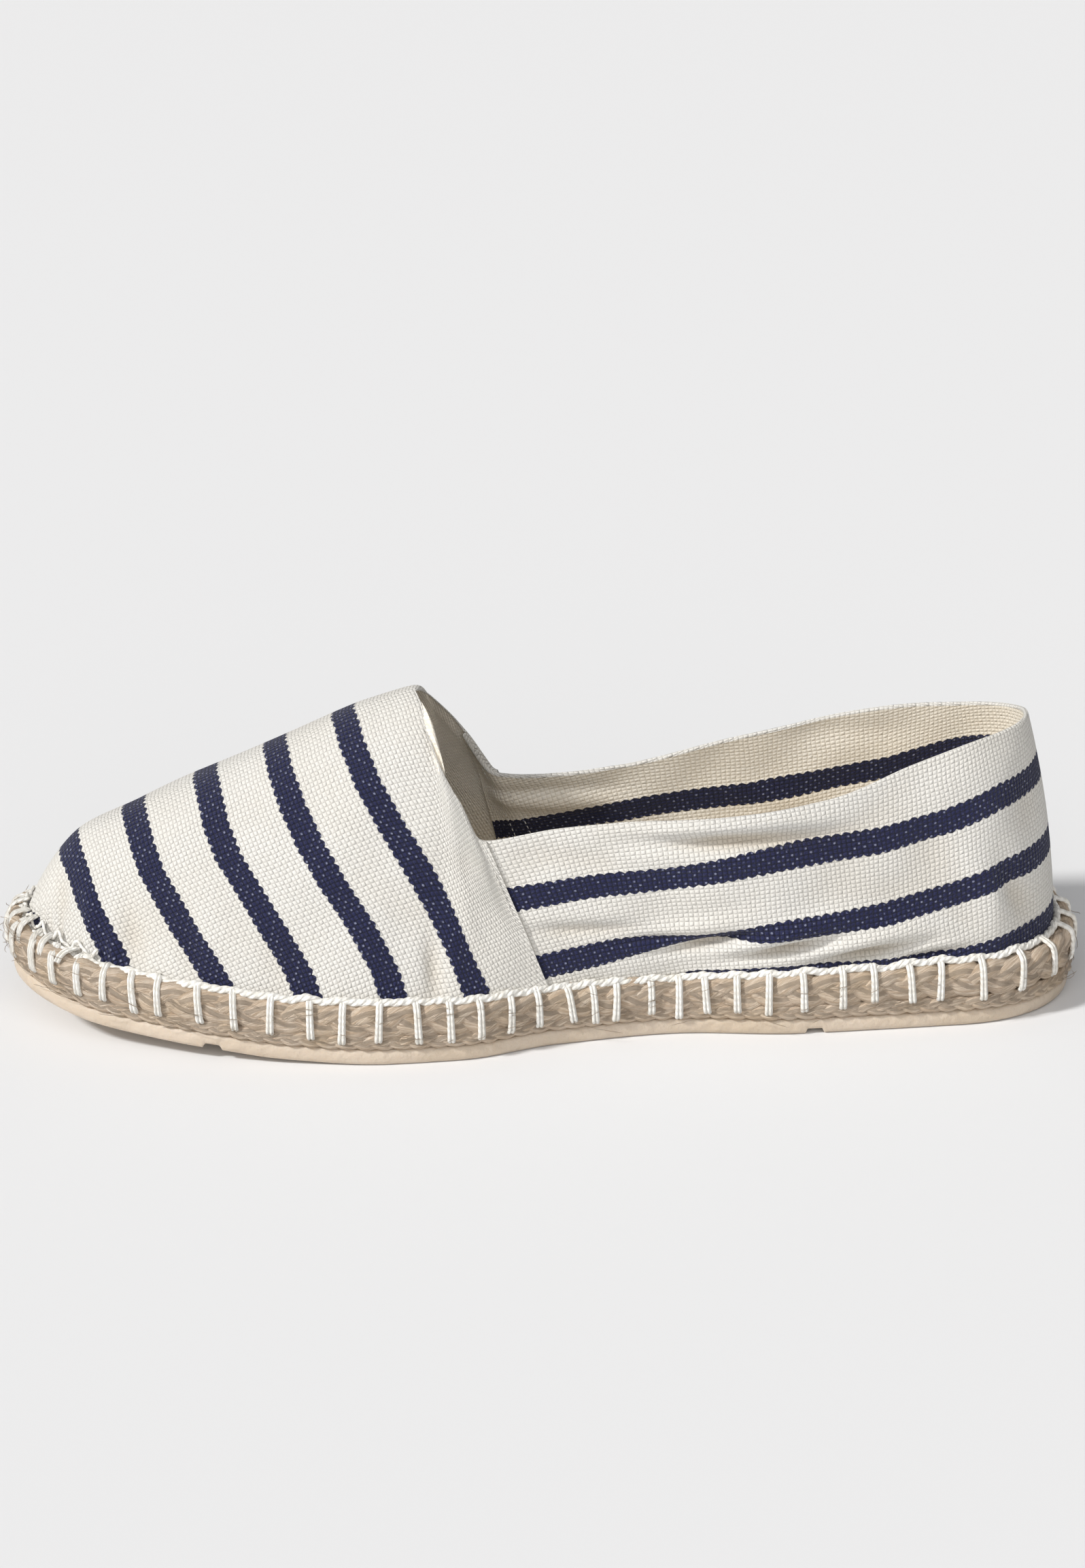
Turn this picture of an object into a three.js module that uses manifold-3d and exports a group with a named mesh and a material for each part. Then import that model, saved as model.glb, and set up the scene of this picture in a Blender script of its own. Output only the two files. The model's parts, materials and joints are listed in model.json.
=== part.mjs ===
// Espadrille, right foot: canvas upper, rope sole with a rubber tread, sock insole.
// Millimetres. +X runs from heel to toe, +Y to the wearer's left (the inner, medial side), +Z up.
// Work is done in a shoe frame with x = 0 at the heel's back and y = 0 on the heel-to-toe line;
// everything is moved at the end so that the origin is the centre of the footprint's box, on the ground.
import * as THREE from 'three';
import { mergeVertices } from 'three/addons/utils/BufferGeometryUtils.js';
import Module from 'manifold-3d';

const wasm = await Module();
wasm.setup();

// ---- driving dimensions -------------------------------------------------
const SOLE_LENGTH = 270.5;      // rope sole, heel to toe, EU 41
const CANVAS_WALL = 1.6;        // two layers of canvas
const MEET_GAP = 0.3;           // air between pieces that touch
const TREAD_THICK = 4.3;        // rubber
const TREAD_INSET = 1.1;        // rubber's edge inside the rope's
const INSOLE_THICK = 1.8;
const FEATHER_HEEL = 5.2;       // canvas line inside the rope's edge, at the heel's back
const FEATHER_TOE = 4.6;        // and at the toe
const HEEL_CAP = { length: 34, power: 2.15 };
const TOE_CAP = { length: 50, power: 2.1 };
const GROOVE = { width: 4.6, depth: 1.2 };   // cross grooves that part the tread's pads
const GROOVE_AT = [70.5, 221];

// plan of the rope sole: half widths from the heel-to-toe line
const PLAN = [
  { x: 0,     medial: 33.0, lateral: 32.5 },
  { x: 30,    medial: 32.9, lateral: 32.7 },
  { x: 50,    medial: 33.6, lateral: 33.0 },
  { x: 75,    medial: 34.3, lateral: 33.4 },
  { x: 105,   medial: 31.2, lateral: 34.0 },
  { x: 135,   medial: 34.8, lateral: 40.5 },
  { x: 160,   medial: 41.6, lateral: 47.2 },
  { x: 178,   medial: 42.4, lateral: 49.6 },
  { x: 200,   medial: 40.0, lateral: 48.6 },
  { x: 222,   medial: 35.6, lateral: 44.8 },
  { x: 242,   medial: 31.0, lateral: 39.8 },
  { x: 270.5, medial: 28.5, lateral: 33.0 },
];

// ground line and height of the rope sole's top above it
const GROUND = [
  { x: 0, z: 0 }, { x: 178, z: 0 }, { x: 205, z: 1.2 }, { x: 219, z: 2.8 },
  { x: 250, z: 6.2 }, { x: 258, z: 8.2 }, { x: 265, z: 10.4 }, { x: 270.5, z: 12.5 },
];
const HEIGHT = [
  { x: 0, z: 17.2 }, { x: 30, z: 17.0 }, { x: 75, z: 16.0 }, { x: 110, z: 14.4 },
  { x: 150, z: 15.2 }, { x: 180, z: 16.0 }, { x: 230, z: 15.6 }, { x: 270.5, z: 14.0 },
];

// how far the canvas line stands inside the rope's edge
const FEATHER = [
  { x: 0, inset: 5.2 }, { x: 20, inset: 3.6 }, { x: 60, inset: 2.2 },
  { x: 200, inset: 2.2 }, { x: 240, inset: 3.0 }, { x: 270.5, inset: 4.6 },
];

// Wall sections of the upper, heel's back to toe tip. footX: where the section stands on the canvas line.
// topX, topY, topZ: its upper end, on the collar, then the throat, then the vamp's ridge.
// leave/arrive: how strongly the wall runs sideways and upwards where it starts and ends. belly: outward bulge.
const COLUMNS = ['footX', 'topX', 'topY', 'topZ', 'leaveSide', 'leaveUp', 'arriveSide', 'arriveUp', 'belly'];
const RIDGE = [
  [162.0, 168.0, 0, 83.4, 0.85, 1.40, 1.25, 0, 0],
  [176.0, 180.0, 0, 80.0, 0.85, 1.48, 1.22, 0, 0],
  [196.0, 198.0, 0, 72.0, 0.85, 1.56, 1.22, 0, 0],
  [216.0, 217.0, 0, 63.8, 0.85, 1.66, 1.22, 0, 0],
  [236.0, 236.0, 0, 55.4, 0.85, 1.78, 1.22, 0, 0],
  [252.0, 252.0, 0, 48.2, 0.85, 1.90, 1.20, 0, 0],
  [262.5, 262.0, 0, 35.4, 0.90, 1.85, 1.10, 0, 0],
  [265.9, 265.5, 0, 28.2, 1, 1, 1, 1, 0],
];
const SECTIONS = {
  medial: [
    [5.2,   13.2, 0,    71.7, 1, 1, 1, 1, 1.6],
    [9.5,   16.3, 9.0,  72.2, 1, 1, 1, 1, 1.6],
    [22.0,  27.5, 17.6, 71.3, 1, 1, 1, 1, 1.6],
    [42.0,  45.5, 22.6, 67.0, 1, 1, 1, 1, 1.6],
    [64.0,  68.0, 27.2, 60.2, 1, 1, 1, 1, 1.6],
    [86.0,  91.5, 30.2, 58.0, 1, 1, 1, 1, 1.4],
    [106.0, 114.0, 27.8, 56.8, 1, 1, 1, 1, 1.2],
    [123.0, 134.5, 25.8, 54.6, 1, 1, 1, 1, 1.2],
    [137.5, 152.0, 25.0, 51.9, 1, 1, 1, 1, 1.2],
    [146.0, 159.8, 21.5, 63.5, 0.95, 1.18, 1.05, 0.75, 0.6],
    [154.0, 166.0, 12.5, 77.3, 0.90, 1.30, 1.15, 0.35, 0],
    ...RIDGE,
  ],
  lateral: [
    [5.2,   13.2, 0,     71.7, 1, 1, 1, 1, 1.6],
    [9.5,   15.8, -9.0,  70.0, 1, 1, 1, 1, 1.6],
    [22.0,  26.8, -18.6, 67.4, 1, 1, 1, 1, 1.6],
    [42.0,  44.5, -22.8, 65.3, 1, 1, 1, 1, 1.8],
    [64.0,  67.5, -25.4, 60.4, 1, 1, 1, 1, 1.8],
    [86.0,  91.0, -26.4, 55.2, 1, 1, 1, 1, 1.8],
    [104.0, 113.0, -26.4, 50.0, 1, 1, 1, 1, 1.8],
    [118.0, 130.0, -25.2, 49.0, 1, 1, 1, 1, 1.8],
    [130.0, 145.0, -23.6, 50.4, 1, 1, 1, 1, 1.8],
    [142.0, 153.5, -20.5, 63.0, 0.95, 1.18, 1.05, 0.75, 0.9],
    [153.0, 163.5, -12.0, 77.3, 0.90, 1.30, 1.15, 0.35, 0],
    ...RIDGE,
  ],
};
const TOP_FREE = 11;            // sections 0..11 end on the open edge, the rest on the ridge

// sampling
const UPPER_STEPS_OPEN = 40, UPPER_STEPS_RIDGE = 24, UPPER_ROWS = 11;
const SOLE_STEPS = 56;

// ---- curves -------------------------------------------------------------
const clamp = (v, a, b) => Math.min(b, Math.max(a, v));

// monotone cubic through (xs, ys)
function monotone(xs, ys) {
  const n = xs.length, h = [], d = [], m = new Array(n).fill(0);
  for (let i = 0; i < n - 1; i++) { h.push(xs[i + 1] - xs[i]); d.push((ys[i + 1] - ys[i]) / h[i]); }
  for (let i = 1; i < n - 1; i++) {
    if (d[i - 1] * d[i] > 0) {
      const w1 = 2 * h[i] + h[i - 1], w2 = h[i] + 2 * h[i - 1];
      m[i] = (w1 + w2) / (w1 / d[i - 1] + w2 / d[i]);
    }
  }
  m[0] = d[0]; m[n - 1] = d[n - 2];
  return (x) => {
    let i = 0;
    while (i < n - 2 && x > xs[i + 1]) i++;
    const t = clamp((x - xs[i]) / h[i], 0, 1), u = 1 - t;
    return ys[i] * (1 + 2 * t) * u * u + h[i] * m[i] * t * u * u
      + ys[i + 1] * t * t * (3 - 2 * t) + h[i] * m[i + 1] * t * t * (t - 1);
  };
}
const column = (table, key) => monotone(table.map((r) => r.x), table.map((r) => r[key]));

const halfWidth = { medial: column(PLAN, 'medial'), lateral: column(PLAN, 'lateral') };
const groundZ = column(GROUND, 'z');
const heightZ = column(HEIGHT, 'z');
const ropeTopZ = (x) => groundZ(x) + heightZ(x);
const featherInset = column(FEATHER, 'inset');

// rounds both ends of the plan: 0 at the ends, 1 between
function ends(x) {
  const a = clamp(1 - x / HEEL_CAP.length, 0, 1);
  const b = clamp(1 - (SOLE_LENGTH - x) / TOE_CAP.length, 0, 1);
  return (1 - a ** HEEL_CAP.power) ** (1 / HEEL_CAP.power) * (1 - b ** TOE_CAP.power) ** (1 / TOE_CAP.power);
}
const signOf = (side) => (side === 'medial' ? 1 : -1);

// a point of the sole's outline set in by `inset`; t runs 0 (heel's back) to 1 (toe tip)
function outline(t, side, inset) {
  const f = (1 - Math.cos(Math.PI * t)) / 2;
  const x = inset + (SOLE_LENGTH - 2 * inset) * f;
  return [x, signOf(side) * (halfWidth[side](x) - inset) * ends(f * SOLE_LENGTH)];
}

// the canvas line on the rope's top, optionally moved further in
function feather(x, side, extra = 0) {
  const x0 = FEATHER_HEEL + extra, x1 = SOLE_LENGTH - FEATHER_TOE - extra;
  const w = halfWidth[side](x) - featherInset(x) * clamp(x / 40, 0.6, 1) - extra;
  return signOf(side) * w * ends(clamp((x - x0) / (x1 - x0), 0, 1) * SOLE_LENGTH);
}

// ---- solids -------------------------------------------------------------
function weld(points, faces) {
  const g = new THREE.BufferGeometry();
  g.setAttribute('position', new THREE.BufferAttribute(new Float32Array(points.flat()), 3));
  g.setIndex(faces.flat());
  const w = mergeVertices(g, 1e-4);
  const idx = w.index.array, keep = [];
  for (let i = 0; i < idx.length; i += 3) {
    const [a, b, c] = [idx[i], idx[i + 1], idx[i + 2]];
    if (a !== b && b !== c && a !== c) keep.push(a, b, c);
  }
  w.setIndex(keep);
  return w;
}

// A slab that follows the sole: `edge` rows run from its underside to its top with inset and share of height.
function slab({ low, high, edge, line, across }) {
  const points = [], faces = [];
  const loopOf = (t) => {
    const loop = [];
    const put = (p, share) => loop.push([p[0], p[1], low(p[0]) + share * (high(p[0]) - low(p[0]))]);
    const first = edge[0], last = edge[edge.length - 1];
    for (const v of across) {                 // underside, lateral to medial
      const p = line(t, v < 0 ? 'lateral' : 'medial', first.inset);
      put([p[0], p[1] * Math.abs(v)], first.share);
    }
    for (const r of edge) put(line(t, 'medial', r.inset), r.share);
    for (const v of [...across].reverse()) {
      const p = line(t, v < 0 ? 'lateral' : 'medial', last.inset);
      put([p[0], p[1] * Math.abs(v)], last.share);
    }
    for (const r of [...edge].reverse()) put(line(t, 'lateral', r.inset), r.share);
    return loop;
  };
  let size = 0;
  for (let i = 0; i <= SOLE_STEPS; i++) {
    const loop = loopOf(i / SOLE_STEPS);
    size = loop.length;
    points.push(...loop);
  }
  for (let i = 0; i < SOLE_STEPS; i++) {
    for (let j = 0; j < size; j++) {
      const a = i * size + j, b = i * size + (j + 1) % size, c = a + size, d = b + size;
      faces.push([a, b, c], [b, d, c]);
    }
  }
  // the two ends are walls of no width: their points weld into one upright line
  return weld(points, faces);
}

const toManifold = (g) => new wasm.Manifold(new wasm.Mesh({
  numProp: 3, vertProperties: new Float32Array(g.attributes.position.array), triVerts: new Uint32Array(g.index.array),
}));
function fromManifold(m) {
  const mesh = m.getMesh(), n = mesh.numProp, pos = [];
  for (let i = 0; i < mesh.vertProperties.length; i += n) pos.push(mesh.vertProperties[i], mesh.vertProperties[i + 1], mesh.vertProperties[i + 2]);
  const g = new THREE.BufferGeometry();
  g.setAttribute('position', new THREE.BufferAttribute(new Float32Array(pos), 3));
  g.setIndex(Array.from(mesh.triVerts));
  return g;
}

function makeOutsole() {
  const g = slab({
    low: groundZ,
    high: (x) => groundZ(x) + TREAD_THICK,
    edge: [
      { inset: TREAD_INSET + 1.1, share: 0 }, { inset: TREAD_INSET + 0.3, share: 0.22 },
      { inset: TREAD_INSET, share: 0.6 }, { inset: TREAD_INSET + 0.3, share: 1 },
    ],
    line: outline,
    across: [-0.66, -0.33, 0.001, 0.33, 0.66],
  });
  let body = toManifold(g);
  for (const x of GROOVE_AT) {
    const slope = (groundZ(x + 3) - groundZ(x - 3)) / 6;
    const cutter = wasm.Manifold.cube([GROOVE.width, 130, 8], true)
      .translate([0, 0, GROOVE.depth - 4])
      .rotate([0, -Math.atan(slope) * 180 / Math.PI, 0])
      .translate([x, 0, groundZ(x)]);
    body = body.subtract(cutter);
  }
  return fromManifold(body);
}

function makeRopeSole() {
  return slab({
    low: (x) => groundZ(x) + TREAD_THICK + MEET_GAP,
    high: ropeTopZ,
    edge: [
      { inset: 0.7, share: 0 }, { inset: 0, share: 0.2 }, { inset: 0, share: 0.7 }, { inset: 0.5, share: 0.9 }, { inset: 1.4, share: 1 },
    ],
    line: outline,
    across: [-0.66, -0.33, 0.001, 0.33, 0.66],
  });
}

function makeInsole() {
  const extra = CANVAS_WALL + 0.9;
  return slab({
    low: (x) => ropeTopZ(x) + MEET_GAP,
    high: (x) => ropeTopZ(x) + MEET_GAP + INSOLE_THICK,
    edge: [{ inset: extra, share: 0 }, { inset: extra + 0.4, share: 1 }],
    line: (t, side, inset) => {
      const f = (1 - Math.cos(Math.PI * t)) / 2;
      const x0 = FEATHER_HEEL + inset, x1 = SOLE_LENGTH - FEATHER_TOE - inset, x = x0 + (x1 - x0) * f;
      return [x, feather(x, side, inset)];
    },
    across: [-0.66, -0.33, 0.001, 0.33, 0.66],
  });
}

// values of every column at station s, with the heel's end mirrored so that the wall goes round it smoothly
function sectionCurves(rows) {
  const n = rows.length, xs = [-1];
  for (let i = 0; i <= n; i++) xs.push(i);
  const out = {};
  COLUMNS.forEach((name, k) => {
    const odd = name === 'topY' ? -1 : 1, ys = rows.map((r) => r[k]);
    out[name] = monotone(xs, [odd * ys[1], ...ys, odd * ys[n - 2]]);
  });
  return out;
}

function makeUpper() {
  // stations, shared by both sides
  const stations = [];
  const last = SECTIONS.medial.length - 1;
  for (let i = 0; i <= UPPER_STEPS_OPEN; i++) stations.push(TOP_FREE * i / UPPER_STEPS_OPEN);
  for (let i = 1; i <= UPPER_STEPS_RIDGE; i++) stations.push(TOP_FREE + (last - TOP_FREE) * i / UPPER_STEPS_RIDGE);
  const ns = stations.length, ring = [];      // ring of columns, toe -> medial -> heel -> lateral -> toe
  const grid = {}, ridge = sectionCurves(SECTIONS.medial);   // both sides end on one ridge
  for (const side of ['medial', 'lateral']) {
    const c = sectionCurves(SECTIONS[side]);
    const foot = stations.map((s) => { const x = c.footX(s); return [x, feather(x, side), ropeTopZ(x) + MEET_GAP]; });
    foot[0][1] = 0; foot[ns - 1][1] = 0;
    grid[side] = stations.map((s, i) => {
      const F = foot[i], e = s < TOP_FREE ? c : ridge, T = [e.topX(s), e.topY(s), e.topZ(s)];
      const P = foot[Math.max(0, i - 1)], Q = foot[Math.min(ns - 1, i + 1)];
      let nx = Q[1] - P[1], ny = -(Q[0] - P[0]);
      if (i === 0) { nx = -1; ny = 0; } else if (i === ns - 1) { nx = 1; ny = 0; } else {
        const k = -signOf(side) / Math.hypot(nx, ny); nx *= k; ny *= k;
      }
      const col = [], ls = c.leaveSide(s), lu = c.leaveUp(s), as = c.arriveSide(s), au = c.arriveUp(s), b = c.belly(s);
      for (let j = 0; j < UPPER_ROWS; j++) {
        const u = j / (UPPER_ROWS - 1);
        const h00 = 2 * u ** 3 - 3 * u ** 2 + 1, h10 = u ** 3 - 2 * u ** 2 + u, h01 = 1 - h00, h11 = u ** 3 - u ** 2;
        const D = [T[0] - F[0], T[1] - F[1], T[2] - F[2]], w = 4 * u * (1 - u) * b;
        col.push([
          h00 * F[0] + h01 * T[0] + (h10 * ls + h11 * as) * D[0] + w * nx,
          h00 * F[1] + h01 * T[1] + (h10 * ls + h11 * as) * D[1] + w * ny,
          h00 * F[2] + h01 * T[2] + (h10 * lu + h11 * au) * D[2],
        ]);
      }
      return col;
    });
  }
  // columns in order round the shoe, starting at the toe tip; the heel's back is shared
  const m = UPPER_ROWS;
  for (let i = ns - 1; i >= 0; i--) ring.push(grid.medial[i]);
  for (let i = 1; i < ns - 1; i++) ring.push(grid.lateral[i]);
  const n = ring.length;
  // weld by position so that both sides share the ridge
  const key = new Map(), pts = [], row = [], id = ring.map((col) => col.map((p, j) => {
    const k = p.map((v) => Math.round(v * 1e3)).join(',');
    if (!key.has(k)) { key.set(k, pts.length); pts.push(p); row.push(j); }
    return key.get(k);
  }));
  const outer = [];
  const addTri = (a, b, c) => { if (a !== b && b !== c && a !== c) outer.push([a, b, c]); };
  for (let i = 0; i < n; i++) {
    const k = (i + 1) % n;
    for (let j = 0; j < m - 1; j++) { addTri(id[i][j], id[k][j], id[i][j + 1]); addTri(id[k][j], id[k][j + 1], id[i][j + 1]); }
  }
  // outward normals at the welded points
  const nrm = pts.map(() => [0, 0, 0]);
  for (const [a, b, c] of outer) {
    const [A, B, C] = [pts[a], pts[b], pts[c]];
    const e = [B[0] - A[0], B[1] - A[1], B[2] - A[2]], f = [C[0] - A[0], C[1] - A[1], C[2] - A[2]];
    const q = [e[1] * f[2] - e[2] * f[1], e[2] * f[0] - e[0] * f[2], e[0] * f[1] - e[1] * f[0]];
    for (const v of [a, b, c]) for (let k = 0; k < 3; k++) nrm[v][k] += q[k];
  }
  const inner = pts.map((p, i) => {
    const q = nrm[i], full = Math.hypot(...q) || 1;
    // near the rope the wall is set in sideways only, so that its foot stays on the rope
    const lift = clamp((p[2] - ropeTopZ(p[0]) - MEET_GAP - 0.8) / 4, 0, 1);
    const v = [q[0] / full, q[1] / full, lift * q[2] / full], l = Math.max(Math.hypot(...v), 0.5);
    const r = [p[0] - CANVAS_WALL * v[0] / l, p[1] - CANVAS_WALL * v[1] / l, p[2] - CANVAS_WALL * v[2] / l];
    r[2] = Math.max(r[2], ropeTopZ(r[0]) + MEET_GAP + 0.15 * row[i]);
    return r;
  });
  const all = [...pts, ...inner], shift = pts.length, faces = [...outer];
  for (const [a, b, c] of outer) faces.push([a + shift, c + shift, b + shift]);
  // rims: every open edge of the outer skin is joined to the inner one
  const half = new Map();
  for (const t of outer) for (let k = 0; k < 3; k++) half.set(t[k] + '_' + t[(k + 1) % 3], true);
  for (const t of outer) {
    for (let k = 0; k < 3; k++) {
      const a = t[k], b = t[(k + 1) % 3];
      if (!half.has(b + '_' + a)) faces.push([b, a, a + shift], [b, a + shift, b + shift]);
    }
  }
  const g = new THREE.BufferGeometry();
  g.setAttribute('position', new THREE.BufferAttribute(new Float32Array(all.flat()), 3));
  g.setIndex(faces.flat());
  return g;
}

// ---- assembly -----------------------------------------------------------
const MATERIALS = {
  canvas: new THREE.MeshStandardMaterial({ color: 0xe9e4d6, roughness: 0.95, metalness: 0 }),
  rope: new THREE.MeshStandardMaterial({ color: 0xc9ad84, roughness: 0.95, metalness: 0 }),
  rubber: new THREE.MeshStandardMaterial({ color: 0xcbb79c, roughness: 0.6, metalness: 0 }),
  sock: new THREE.MeshStandardMaterial({ color: 0xe2d8c2, roughness: 0.95, metalness: 0 }),
};
const pieces = [
  ['upper', makeUpper(), MATERIALS.canvas],
  ['rope_sole', makeRopeSole(), MATERIALS.rope],
  ['outsole', makeOutsole(), MATERIALS.rubber],
  ['insole', makeInsole(), MATERIALS.sock],
];
// footprint's centre
let yMax = 0, yMin = 0;
for (let i = 0; i <= SOLE_STEPS; i++) {
  yMax = Math.max(yMax, outline(i / SOLE_STEPS, 'medial', 0)[1]);
  yMin = Math.min(yMin, outline(i / SOLE_STEPS, 'lateral', 0)[1]);
}
const SHIFT = [-SOLE_LENGTH / 2, -(yMax + yMin) / 2, 0];

const group = new THREE.Group();
group.name = 'espadrille';
for (const [name, geometry, material] of pieces) {
  geometry.translate(...SHIFT);
  geometry.computeVertexNormals();
  const mesh = new THREE.Mesh(geometry, material);
  mesh.name = name;
  group.add(mesh);
}
export default group;
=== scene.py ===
import json
import math
import bpy
import numpy as np
from mathutils import Matrix, Vector

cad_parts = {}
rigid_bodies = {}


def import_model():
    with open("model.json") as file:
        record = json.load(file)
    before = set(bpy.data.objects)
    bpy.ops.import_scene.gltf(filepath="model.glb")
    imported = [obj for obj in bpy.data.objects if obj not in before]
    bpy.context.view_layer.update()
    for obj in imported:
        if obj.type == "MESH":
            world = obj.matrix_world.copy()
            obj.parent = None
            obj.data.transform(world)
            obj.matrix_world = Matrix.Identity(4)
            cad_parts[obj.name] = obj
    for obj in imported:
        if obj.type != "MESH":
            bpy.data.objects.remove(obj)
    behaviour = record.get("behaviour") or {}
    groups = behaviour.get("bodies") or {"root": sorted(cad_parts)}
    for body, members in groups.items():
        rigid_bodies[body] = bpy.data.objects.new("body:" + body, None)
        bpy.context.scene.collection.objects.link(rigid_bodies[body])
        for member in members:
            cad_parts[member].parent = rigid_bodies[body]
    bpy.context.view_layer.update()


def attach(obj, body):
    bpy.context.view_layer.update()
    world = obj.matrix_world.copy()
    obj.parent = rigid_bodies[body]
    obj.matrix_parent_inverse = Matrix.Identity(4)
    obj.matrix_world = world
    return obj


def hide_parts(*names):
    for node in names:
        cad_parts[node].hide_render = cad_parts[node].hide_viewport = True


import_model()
rng = np.random.default_rng(7)

# ------------------------------------------------------------------ the shoe's own sizes, mm
# shoe frame: x from the heel's back to the toe, y to the wearer's left (medial side), z up
SOLE_LENGTH = 270.5
TREAD = 4.3
GAP = 0.3
FEATHER_HEEL, FEATHER_TOE = 5.2, 4.6
CLOTH = 1.25                      # folded canvas
HEEL_CAP, TOE_CAP = (34.0, 2.15), (50.0, 2.1)
GROOVES = (70.5, 221.0)
MOVE = (-SOLE_LENGTH / 2, 3.60)   # shoe frame to row frame

PLAN = dict(
    x=[0, 30, 50, 75, 105, 135, 160, 178, 200, 222, 242, 270.5],
    medial=[33.0, 32.9, 33.6, 34.3, 31.2, 34.8, 41.6, 42.4, 40.0, 35.6, 31.0, 28.5],
    lateral=[32.5, 32.7, 33.0, 33.4, 34.0, 40.5, 47.2, 49.6, 48.6, 44.8, 39.8, 33.0],
)
GROUND = dict(x=[0, 178, 205, 219, 250, 258, 265, 270.5], z=[0, 0, 1.2, 2.8, 6.2, 8.2, 10.4, 12.5])
HEIGHT = dict(x=[0, 30, 75, 110, 150, 180, 230, 270.5], z=[17.2, 17.0, 16.0, 14.4, 15.2, 16.0, 15.6, 14.0])
FEATHER = dict(x=[0, 20, 60, 200, 240, 270.5], d=[5.2, 3.6, 2.2, 2.2, 3.0, 4.6])
COLUMNS = ["footX", "topX", "topY", "topZ", "leaveSide", "leaveUp", "arriveSide", "arriveUp", "belly"]
RIDGE = [
    [162.0, 168.0, 0, 83.4, 0.85, 1.40, 1.25, 0, 0],
    [176.0, 180.0, 0, 80.0, 0.85, 1.48, 1.22, 0, 0],
    [196.0, 198.0, 0, 72.0, 0.85, 1.56, 1.22, 0, 0],
    [216.0, 217.0, 0, 63.8, 0.85, 1.66, 1.22, 0, 0],
    [236.0, 236.0, 0, 55.4, 0.85, 1.78, 1.22, 0, 0],
    [252.0, 252.0, 0, 48.2, 0.85, 1.90, 1.20, 0, 0],
    [262.5, 262.0, 0, 35.4, 0.90, 1.85, 1.10, 0, 0],
    [265.9, 265.5, 0, 28.2, 1, 1, 1, 1, 0],
]
SECTIONS = dict(
    medial=[
        [5.2, 13.2, 0, 71.7, 1, 1, 1, 1, 1.6],
        [9.5, 16.3, 9.0, 72.2, 1, 1, 1, 1, 1.6],
        [22.0, 27.5, 17.6, 71.3, 1, 1, 1, 1, 1.6],
        [42.0, 45.5, 22.6, 67.0, 1, 1, 1, 1, 1.6],
        [64.0, 68.0, 27.2, 60.2, 1, 1, 1, 1, 1.6],
        [86.0, 91.5, 30.2, 58.0, 1, 1, 1, 1, 1.4],
        [106.0, 114.0, 27.8, 56.8, 1, 1, 1, 1, 1.2],
        [123.0, 134.5, 25.8, 54.6, 1, 1, 1, 1, 1.2],
        [137.5, 152.0, 25.0, 51.9, 1, 1, 1, 1, 1.2],
        [146.0, 159.8, 21.5, 63.5, 0.95, 1.18, 1.05, 0.75, 0.6],
        [154.0, 166.0, 12.5, 77.3, 0.90, 1.30, 1.15, 0.35, 0],
    ] + RIDGE,
    lateral=[
        [5.2, 13.2, 0, 71.7, 1, 1, 1, 1, 1.6],
        [9.5, 15.8, -9.0, 70.0, 1, 1, 1, 1, 1.6],
        [22.0, 26.8, -18.6, 67.4, 1, 1, 1, 1, 1.6],
        [42.0, 44.5, -22.8, 65.3, 1, 1, 1, 1, 1.8],
        [64.0, 67.5, -25.4, 60.4, 1, 1, 1, 1, 1.8],
        [86.0, 91.0, -26.4, 55.2, 1, 1, 1, 1, 1.8],
        [104.0, 113.0, -26.4, 50.0, 1, 1, 1, 1, 1.8],
        [118.0, 130.0, -25.2, 49.0, 1, 1, 1, 1, 1.8],
        [130.0, 145.0, -23.6, 50.4, 1, 1, 1, 1, 1.8],
        [142.0, 153.5, -20.5, 63.0, 0.95, 1.18, 1.05, 0.75, 0.9],
        [153.0, 163.5, -12.0, 77.3, 0.90, 1.30, 1.15, 0.35, 0],
    ] + RIDGE,
)
SEAM, APEX, LAST = 8.0, 11.0, 18.0        # stations of the side seam, the throat's middle, the toe tip

# where the vamp's stripes run: x of each stripe at shares of the way down from the ridge (0) to the rope (1)
VAMP_STRIPES = dict(
    down=[0, 0.15, 0.3, 0.45, 0.6, 0.75, 0.9, 1.0],
    s1=[254.8, 254.5, 253.2, 251.8, 250.5, 248.0, 245.3, 244.3],
    s2=[238.6, 237.8, 236.5, 234.6, 231.0, 227.0, 221.6, 217.8],
    s3=[220.2, 219.4, 218.3, 215.5, 210.3, 205.0, 199.3, 197.0],
    s4=[202.8, 202.0, 199.4, 195.5, 190.4, 183.6, 178.0, 176.0],
    s5=[185.8, 184.2, 180.7, 175.3, 168.8, 162.9, 158.0, 155.2],
)
# heights of the quarters' two main stripes up the wall, by place along the canvas line
QUARTER_STRIPES = dict(
    medial=dict(x=[5, 20, 35, 52, 70, 86, 102, 118, 137, 150],
                upper=[42.2, 40.6, 36.4, 33.2, 32.0, 30.2, 28.3, 27.0, 25.0, 24.0],
                lower=[23.2, 21.4, 17.4, 14.0, 12.6, 11.9, 11.4, 9.6, 6.4, 5.0]),
    lateral=dict(x=[5, 15, 25, 43, 60, 77, 101, 117, 130, 142],
                 upper=[42.2, 39.5, 36.7, 30.3, 27.0, 24.2, 23.8, 22.0, 19.4, 16.0],
                 lower=[23.2, 20.6, 17.6, 11.1, 7.8, 5.0, 4.6, 2.8, 0.4, -3.0]),
)
PITCH = 20.0                      # stripe to stripe

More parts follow.
